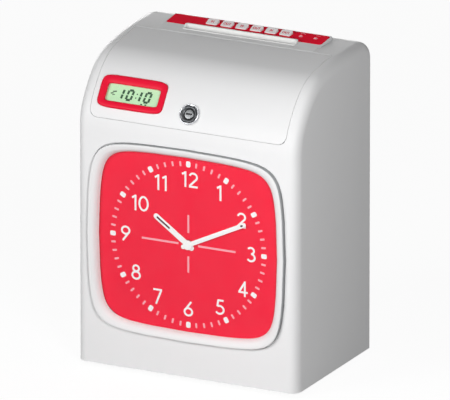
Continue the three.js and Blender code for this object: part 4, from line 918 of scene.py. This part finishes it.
# %% The display frame
frame_corners = [(0, -1.1), (0, 0.75), (0.22, 1.15), (0.6, 1.3), (0.9, 1.05), (1, 0.2), (1, -1.1)]
frame_section = softened(frame_corners, [0.1, 0.4, 0.9, 1.2, 0.6, 0.5, 0.1], 6, closed=True)
WINDOW = np.array([0.5, -0.8])
rim = ring_between(outline_bulged(21.5, 6.9, 12) + WINDOW, outline_bulged(26.6, 12.7), frame_section)
piece("display_surround", rim, DISPLAY, "lid_unit", gloss_red, ["display_frame"], 50)
pane = slab(outline_bulged(21.3, 6.7, 12) + WINDOW, -1.1, 0.3)
piece("display_pane", pane, DISPLAY, "lid_unit", clear_window, ["display_window"])

# %% [markdown]
# ## The figures on the crystal
# A liquid crystal draws each figure with up to seven bars, here leaning a little to the right. Only
# the bars that are lit are made, as thin dark strips on the plate, with the colon and a few small
# marks beside them.

# %% The figures on the crystal
def lcd_bar(path, width):
    """A dark strip on the crystal's face."""
    return ribbon(np.array(path, float), width, -1.42, -1.36)


def leaning_bars(digit, x, height=7.5, width=3.9, lean=0.16):
    """Bars a to g of a figure, each a short stroke; every point is leaned by x + lean * y."""
    h, w = height / 2, width / 2
    ends = {"a": ((-w, h), (w, h)), "b": ((w, h), (w, 0)), "c": ((w, 0), (w, -h)), "d": ((w, -h), (-w, -h)),
            "e": ((-w, -h), (-w, 0)), "f": ((-w, 0), (-w, h)), "g": ((-w, 0), (w, 0))}
    bars = {"0": "abcdef", "1": "bc"}[digit]
    parts = []
    for bar in bars:
        start, stop = np.array(ends[bar][0], float), np.array(ends[bar][1], float)
        trim = (stop - start) / np.linalg.norm(stop - start) * 0.30
        path = np.array([start + trim, stop - trim])
        path[:, 0] += lean * path[:, 1] + x
        path[:, 1] -= 0.8
        parts.append(lcd_bar(path, 1.75))
    return parts


figures = sum([leaning_bars(digit, x) for digit, x in zip("1010", (-10.2, -2.4, 4.2, 12))], [])
dots = [lcd_bar([(2.5 + 0.16 * y, y - 0.8), (3.5 + 0.16 * y, y - 0.8)], 1) for y in (1.5, -1.5)]
marks = [lcd_bar([(x, -6.5), (x + 1.6, -6.4)], 0.9) for x in (7.6, 11)]
marks += [lcd_bar([(-18, -1.3), (-15.8, -0.9)], 0.8), lcd_bar([(-16.6, 0.1), (-13.6, 0.7)], 0.9),
          lcd_bar([(-16.4, -2.3), (-14.4, -1.9)], 0.6)]
piece("display_figures", gather(figures + dots + marks), DISPLAY, "lid_unit", lcd_ink)

# %% [markdown]
# ## The lock
# A turned and chromed barrel: a bright rim round a dished face, cut by six shallow notches. The
# face's dark metal colour is a painted reflection of a dark room. The plug in its middle is steel,
# darkened as painted shade, with a level key slot that a black block fills as painted shade.

# %% The lock
ring_profile = softened([(4, -14), (4, 0.6), (6.9, 0.6), (6.9, 1.4), (7.3, 1.8), (7.9, 1.2), (7.9, 0.3),
                         (5.5, 0.3), (5.5, -14)], [0, 0.1, 0.1, 0.2, 0.3, 0.4, 0.05, 0.1, 0], 5, True)
piece("lock_ring", turned(ring_profile, 96, closed=True), LOCK, "lid_unit", chrome,
      ["lock_barrel"], 40)


def lobed_face():
    """A dark ring whose outer radius waves: R (1 + 0.06 cos (6a + 0.5)), on a soft-edged section."""
    points, faces = turned(softened([(4, 0.5), (4, 1), (4.9, 1.7), (5.9, 1.7), (6.7, 0.9), (6.7, 0.5)],
                                    [0.1, 0.2, 0.4, 0.4, 0.3, 0.1], 5, True), 120, closed=True)
    radius, angle = np.hypot(points[:, 0], points[:, 1]), np.arctan2(points[:, 1], points[:, 0])
    stretch = 1 + 0.06 * np.cos(6 * angle + 0.5) * np.clip((radius - 4.6) / 1.2, 0, 1)
    return np.column_stack([points[:, 0] * stretch, points[:, 1] * stretch, points[:, 2]]), faces


# The lock's dark face: a painted reflection.
piece("lock_face", lobed_face(), LOCK, "lid_unit", dark_metal_and_painted_reflection, (), 40)
# The plug's dark colour is painted shade.
plug_profile = softened([(0, -14.3), (3.7, -14.3), (3.7, 1.1), (3.2, 1.4), (0, 1.4)], 0.3, 5)
plug = carve(raw_object("lock_core_plug", moved(turned(plug_profile), LOCK)),
             [cut(block((-2.5, 2.5), (-0.65, 0.65), (-4.6, 6)), LOCK)])
finish_piece(plug, "lock_core", plug_steel_painted_shade, ["lock_plug"])
# A black block in the key slot, painted shade for its depth.
shade = pillow(2.49, 0.64, 0.3, [(0, -4.7), (0, 0.3), (0.2, 0.5)])
piece("keyway_shade", shade, LOCK, "lock_core", black_plastic)

# %% [markdown]
# ## The card slot and the keys
# The white mouth of the slot has a low front edge and a raised back wall that guides the card in.
# It is one section carried round the slot, and its points are lifted by an even step from front to
# back. Its place leans with the deck while its walls stay upright, as a moulding's would.

# %% The slot's mouth
def slot_mouth():
    """Section round the slot; the top rises by 1.45 mm from the front edge to the back wall."""
    section = softened([(0, -8), (0, 0.55), (1, 0.55), (1, 0.1), (0.64, 0.1), (0.64, -8)],
                       [0, 0.3, 0.3, 0.1, 0.1, 0], 5, closed=True)
    points, faces = ring_between(outline_rounded(44.5, 2.3, 0.9), outline_rounded(45.9, 3.7, 1.4), section)
    points = points.copy()
    rise = np.clip((points[:, 1] + 1) / 2.6, 0, 1)
    points[:, 2] += 1.45 * rise ** 2 * (3 - 2 * rise) * (points[:, 2] > 0.3)
    return points, faces


shear = ((0, CARD_Y, deck_height(CARD_Y)), ((1, 0, 0), (0, 1, math.tan(DECK_ANGLE)), (0, 0, 1)))
piece("slot_mouth", slot_mouth(), shear, "root", lip_white, ["slot_lip"], 40)

# %% [markdown]
# ## The red panel
# Behind the slot lies a thin red sheet with a rounded top edge, let into the deck. Its openings for
# the keys and the lamps are cut from it, so that each key shows its gap.

# %% The red panel
KEY_X = [-29.5 + 12 * index for index in range(6)]
LAMP_X = (42.5, 54.5)
middle = (PANEL_FRONT + PANEL_BACK) / 2
edge = [(0, -1.2)] + rounded_rim(0.25, 0, 5)
sheet = shifted(pillow(PANEL_HALF, (PANEL_BACK - PANEL_FRONT) / 2, 2, edge), 0, middle)
key_hole, lamp_hole = slab(outline_rounded(4.8, 3.5, 1.5), -4, 4), turned([(1.9, -4), (1.9, 4)], 24)
holes = [(key_hole, x) for x in KEY_X] + [(lamp_hole, x) for x in LAMP_X]
panel_steps = [cut(shifted(hole, x), deck_place()) for hole, x in holes]
panel = carve(raw_object("red_panel", moved(sheet, deck_place())), panel_steps)
finish_piece(panel, "root", panel_red, ["keypad_panel"], 40)

# %% [markdown]
# ## Keys and lamps
# Six white keys stand up like small wedges, higher at the back, with a stem below. Each rides on its
# own joint with its legend, which lies on the slanted top. The legends are generic: IN and OUT. The
# two status lamps are low red domes with a pink mark beside each.

# %% Keys and lamps
KEY_FRONT_HIGH, KEY_RISE, KEY_HALF_Y = 0.4, 1.5, 3.2


def key_cap(x):
    """A cap with a rounded top edge; above the panel z gains KEY_RISE from its front to its back."""
    sides, middle = [(0, -2.2), (0, -0.3)], [(1.4, KEY_FRONT_HIGH - 0.06)]
    points, faces = pillow(4.5, KEY_HALF_Y, 1.2, sides + rounded_rim(0.4, KEY_FRONT_HIGH, 7) + middle)
    points = points.copy()
    points[:, 2] += KEY_RISE * (points[:, 1] + KEY_HALF_Y) / (2 * KEY_HALF_Y) * (points[:, 2] > -0.1)
    return shifted(gather([(points, faces), turned([(1.5, -4.2), (1.5, -2)], 24)]), x)


def key_top_place(x):
    """The middle of a key's slanted top: the deck's place, turned further about X by the slant."""
    origin, (across, along, out) = deck_place()
    across, along, out = np.array(across, float), np.array(along, float), np.array(out, float)
    slant = math.atan2(KEY_RISE, 2 * KEY_HALF_Y)
    origin = np.array(origin) + x * across + (KEY_FRONT_HIGH + KEY_RISE / 2) * out
    up = along * math.cos(slant) + out * math.sin(slant)
    return origin, (across, up, np.cross(across, up))


for index, x in enumerate(KEY_X):
    number = index + 1
    piece("key_cap_%d" % number, key_cap(x), deck_place(), "key_%d" % number, key_white,
          ["key_%d" % number], 40)
    word = written("IN" if index % 2 == 0 else "OUT", (2.7, 2.5), 0.45, (0, 0), -0.12, -0.03)
    piece("key_word_%d" % number, word, key_top_place(x), "key_%d" % number, ink_red)
for index, x in enumerate(LAMP_X):
    dome = turned(softened([(0, -2.4), (1.6, -2.4), (1.6, -0.05), (0.9, 0.15), (0, 0.15)], 0.4, 5), 32)
    piece("lamp_lens_%d" % (index + 1), shifted(dome, x), deck_place(), "root", lamp_red,
          ["status_lamp_%d" % (index + 1)])
caret = [ribbon(line((40.6, 4), (42.5, 5.4), (44.4, 4)), 0.6, -0.02, 0.04),
         ribbon(line((52.6, 4.6), (56.4, 4.6)), 0.6, -0.02, 0.04)]
piece("lamp_marks", gather(caret), deck_place(), "root", ink_pink)

# %% [markdown]
# ## The back cover
# The back cover is a plain plate with rounded edges. Two keyholes to hang the clock by, the opening
# of the mains inlet and four round pockets for the screws are cut from it.

# %% The back cover
plate = pillow(76, 104.5, 12, [(0, 0.15)] + rounded_rim(1, 3, 7))
INLET = rear_place(-45, REAR, FOOT + 32)
SCREWS = [(x, z) for x in (-68, 68) for z in (-96, 96)]
cover_steps = []
for side in (-1, 1):
    keyhole = rear_place(side * 45, REAR, FOOT + 192)
    neck = outline_rounded(2.4, 5, 2.39) + np.array([0, 5])
    cover_steps += [cut(turned([(4.6, -3), (4.6, 6)], 48), keyhole), cut(slab(neck, -3, 6), keyhole)]
cover_steps.append(cut(slab(outline_rounded(10.4, 6.5, 4.6), -3, 6), INLET))
pocket = turned([(3.2, 1.5), (3.2, 6)], 48)
cover_steps += [cut(shifted(pocket, x, z), COVER) for x, z in SCREWS]
cover = carve(raw_object("rear_cover", moved(plate, COVER)), cover_steps)
finish_piece(cover, "root", shell_white, ["back_cover"], 40)

# %% [markdown]
# ## Inlet, screws and feet
# The inlet is a black cup of the common two-pin shape, with two plated pins. The screws have low
# domed heads with a cross, pressed in by lowering the points near two lines. The feet are turned
# rubber discs.

# %% Inlet, screws and feet
shroud = softened([(0, -10.5), (0, 3), (1, 3), (1, -13), (0, -13)], 0.3, 4, closed=True)
mouth = ring_between(outline_rounded(8.5, 4.6, 4.5), outline_rounded(10.1, 6.2, 4.59), shroud)
piece("inlet_shroud", gather([mouth, slab(outline_rounded(9.4, 5.5, 4.59), -12.9, -10)]), INLET, "root",
      black_plastic, ["power_inlet"], 40)
pin_profile = softened([(0, -10.5), (1.15, -10.5), (1.15, -0.6), (0.6, 0), (0, 0)], 0.3, 4)
pins = gather([shifted(turned(pin_profile, 24), side * 4.3) for side in (-1, 1)])
piece("inlet_pins", pins, INLET, "root", chrome)


def cross_head(radius, height):
    """A domed head r, h(1 - (r/R)^2) with a cross of two grooves pressed into its middle."""
    share = np.linspace(1, 0, 12)
    points, faces = turned([(radius, -0.4)] + [(radius * s, 0.3 + height * (1 - s * s)) for s in share], 48)
    points = points.copy()
    near_line = np.minimum(np.abs(points[:, 0]), np.abs(points[:, 1])) < 0.35
    near_middle = np.hypot(points[:, 0], points[:, 1]) < radius * 0.62
    points[:, 2] -= 0.5 * (near_line & near_middle & (points[:, 2] > 0.3))
    return points, faces


screws = gather([shifted(cross_head(2.6, 0.7), x, z, 1.85) for x, z in SCREWS])
piece("cover_screws", screws, COVER, "root", screw_zinc, (), 25)
for index, (x, y) in enumerate(((-70, -42), (70, -42), (-70, 42), (70, 42))):
    profile = softened([(0, 0), (7.2, 0), (8, 1), (8, 3), (0, 3)], 0.5, 5)
    piece("rubber_foot_%d" % (index + 1), turned(profile, 48), level_place(x, y, 0), "root",
          rubber, ["foot_%d" % (index + 1)])

# %% [markdown]
# ## Floor and world
# The floor is pale and plain. For rays from the camera it glows most of the way to white, and the
# rest of its tone comes from the light on it, so the shadow stays. The world is white to the camera
# and to reflections, and adds almost no light of its own.

# %% Floor and world
def seen_by_camera(paint):
    """1 for rays from the camera, from a gloss or through glass, else 0."""
    rays = paint.node("ShaderNodeLightPath").socket.node
    kinds = [Wire(paint, rays.outputs["Is %s Ray" % kind]) for kind in ("Camera", "Glossy", "Transmission")]
    total = kinds[0] + kinds[1] + kinds[2]
    return total.maths("MINIMUM", total, 1.0)


def floor_finish():
    """Matt pale grey for the light, mixed with a glow for the camera."""
    paint = Paint("floor")
    dust = paint.noise(9.0, 3.0)
    grey = paint.blend(dust, (0.40, 0.40, 0.40, 1.0), (0.43, 0.43, 0.43, 1.0))
    matt = paint.node("ShaderNodeBsdfDiffuse", None, {"Color": grey})
    glow = paint.node("ShaderNodeEmission", None, {"Color": (1.0, 1.0, 1.0, 1.0), "Strength": 1.2})
    mixed = paint.node("ShaderNodeMixShader", None, {0: seen_by_camera(paint) * 0.78, 1: matt, 2: glow})
    out = paint.tree.nodes.new("ShaderNodeOutputMaterial")
    paint.tree.links.new(mixed.socket, out.inputs["Surface"])
    return paint.material


reach, far = 5000.0, 9000.0
corners = np.array([(-reach, -reach), (reach, -reach), (reach, far), (-reach, far)])
floor = raw_object("floor", slab(corners, -20.0, 0.0))
floor.data.materials.append(floor_finish())

world = bpy.data.worlds.new("studio")
scene.world = world
world.use_nodes = True
world.node_tree.nodes.clear()
sky = Paint.__new__(Paint)
sky.tree = world.node_tree
strength = 0.03 + seen_by_camera(sky) * 0.97
shade = sky.node("ShaderNodeBackground", None, {"Color": (1.0, 1.0, 1.0, 1.0), "Strength": strength})
out = sky.tree.nodes.new("ShaderNodeOutputWorld")
sky.tree.links.new(shade.socket, out.inputs["Surface"])
print("floor and world ready")

# %% [markdown]
# ## Lamps
# Two soft lamps stand 20 degrees up: the stronger one to the left of the front lights the face and
# leaves the top darker, the other one to the right lifts the side. A weaker one behind keeps the
# back from going dark. All aim at the middle of the clock.

# %% Lamps
def soft_lamp(name, place, size, power, target=(0.0, 0.0, 0.13)):
    """A rectangular area lamp turned so that its -Z axis points from its place to the target."""
    lamp = bpy.data.objects.new(name, bpy.data.lights.new(name, "AREA"))
    lamp.data.shape, lamp.data.size, lamp.data.size_y = "RECTANGLE", size[0], size[1]
    lamp.data.energy = power
    direction = np.array(target, float) - np.array(place, float)
    flat = math.hypot(direction[0], direction[1])
    heading = math.atan2(direction[1], direction[0])
    lamp.rotation_euler = (math.atan2(flat, -direction[2]), 0.0, heading - math.pi / 2)
    lamp.location = place
    scene.collection.objects.link(lamp)


soft_lamp("key", (-0.996, -1.594, 0.814), (0.9, 0.9), 20.5)
soft_lamp("side", (0.550, -0.704, 0.455), (0.26, 0.6), 5.3)
soft_lamp("rear", (-1.3, 1.7, 0.3), (1.2, 1.0), 13.0)
scene.view_settings.view_transform = "Standard"
print("lamps ready")
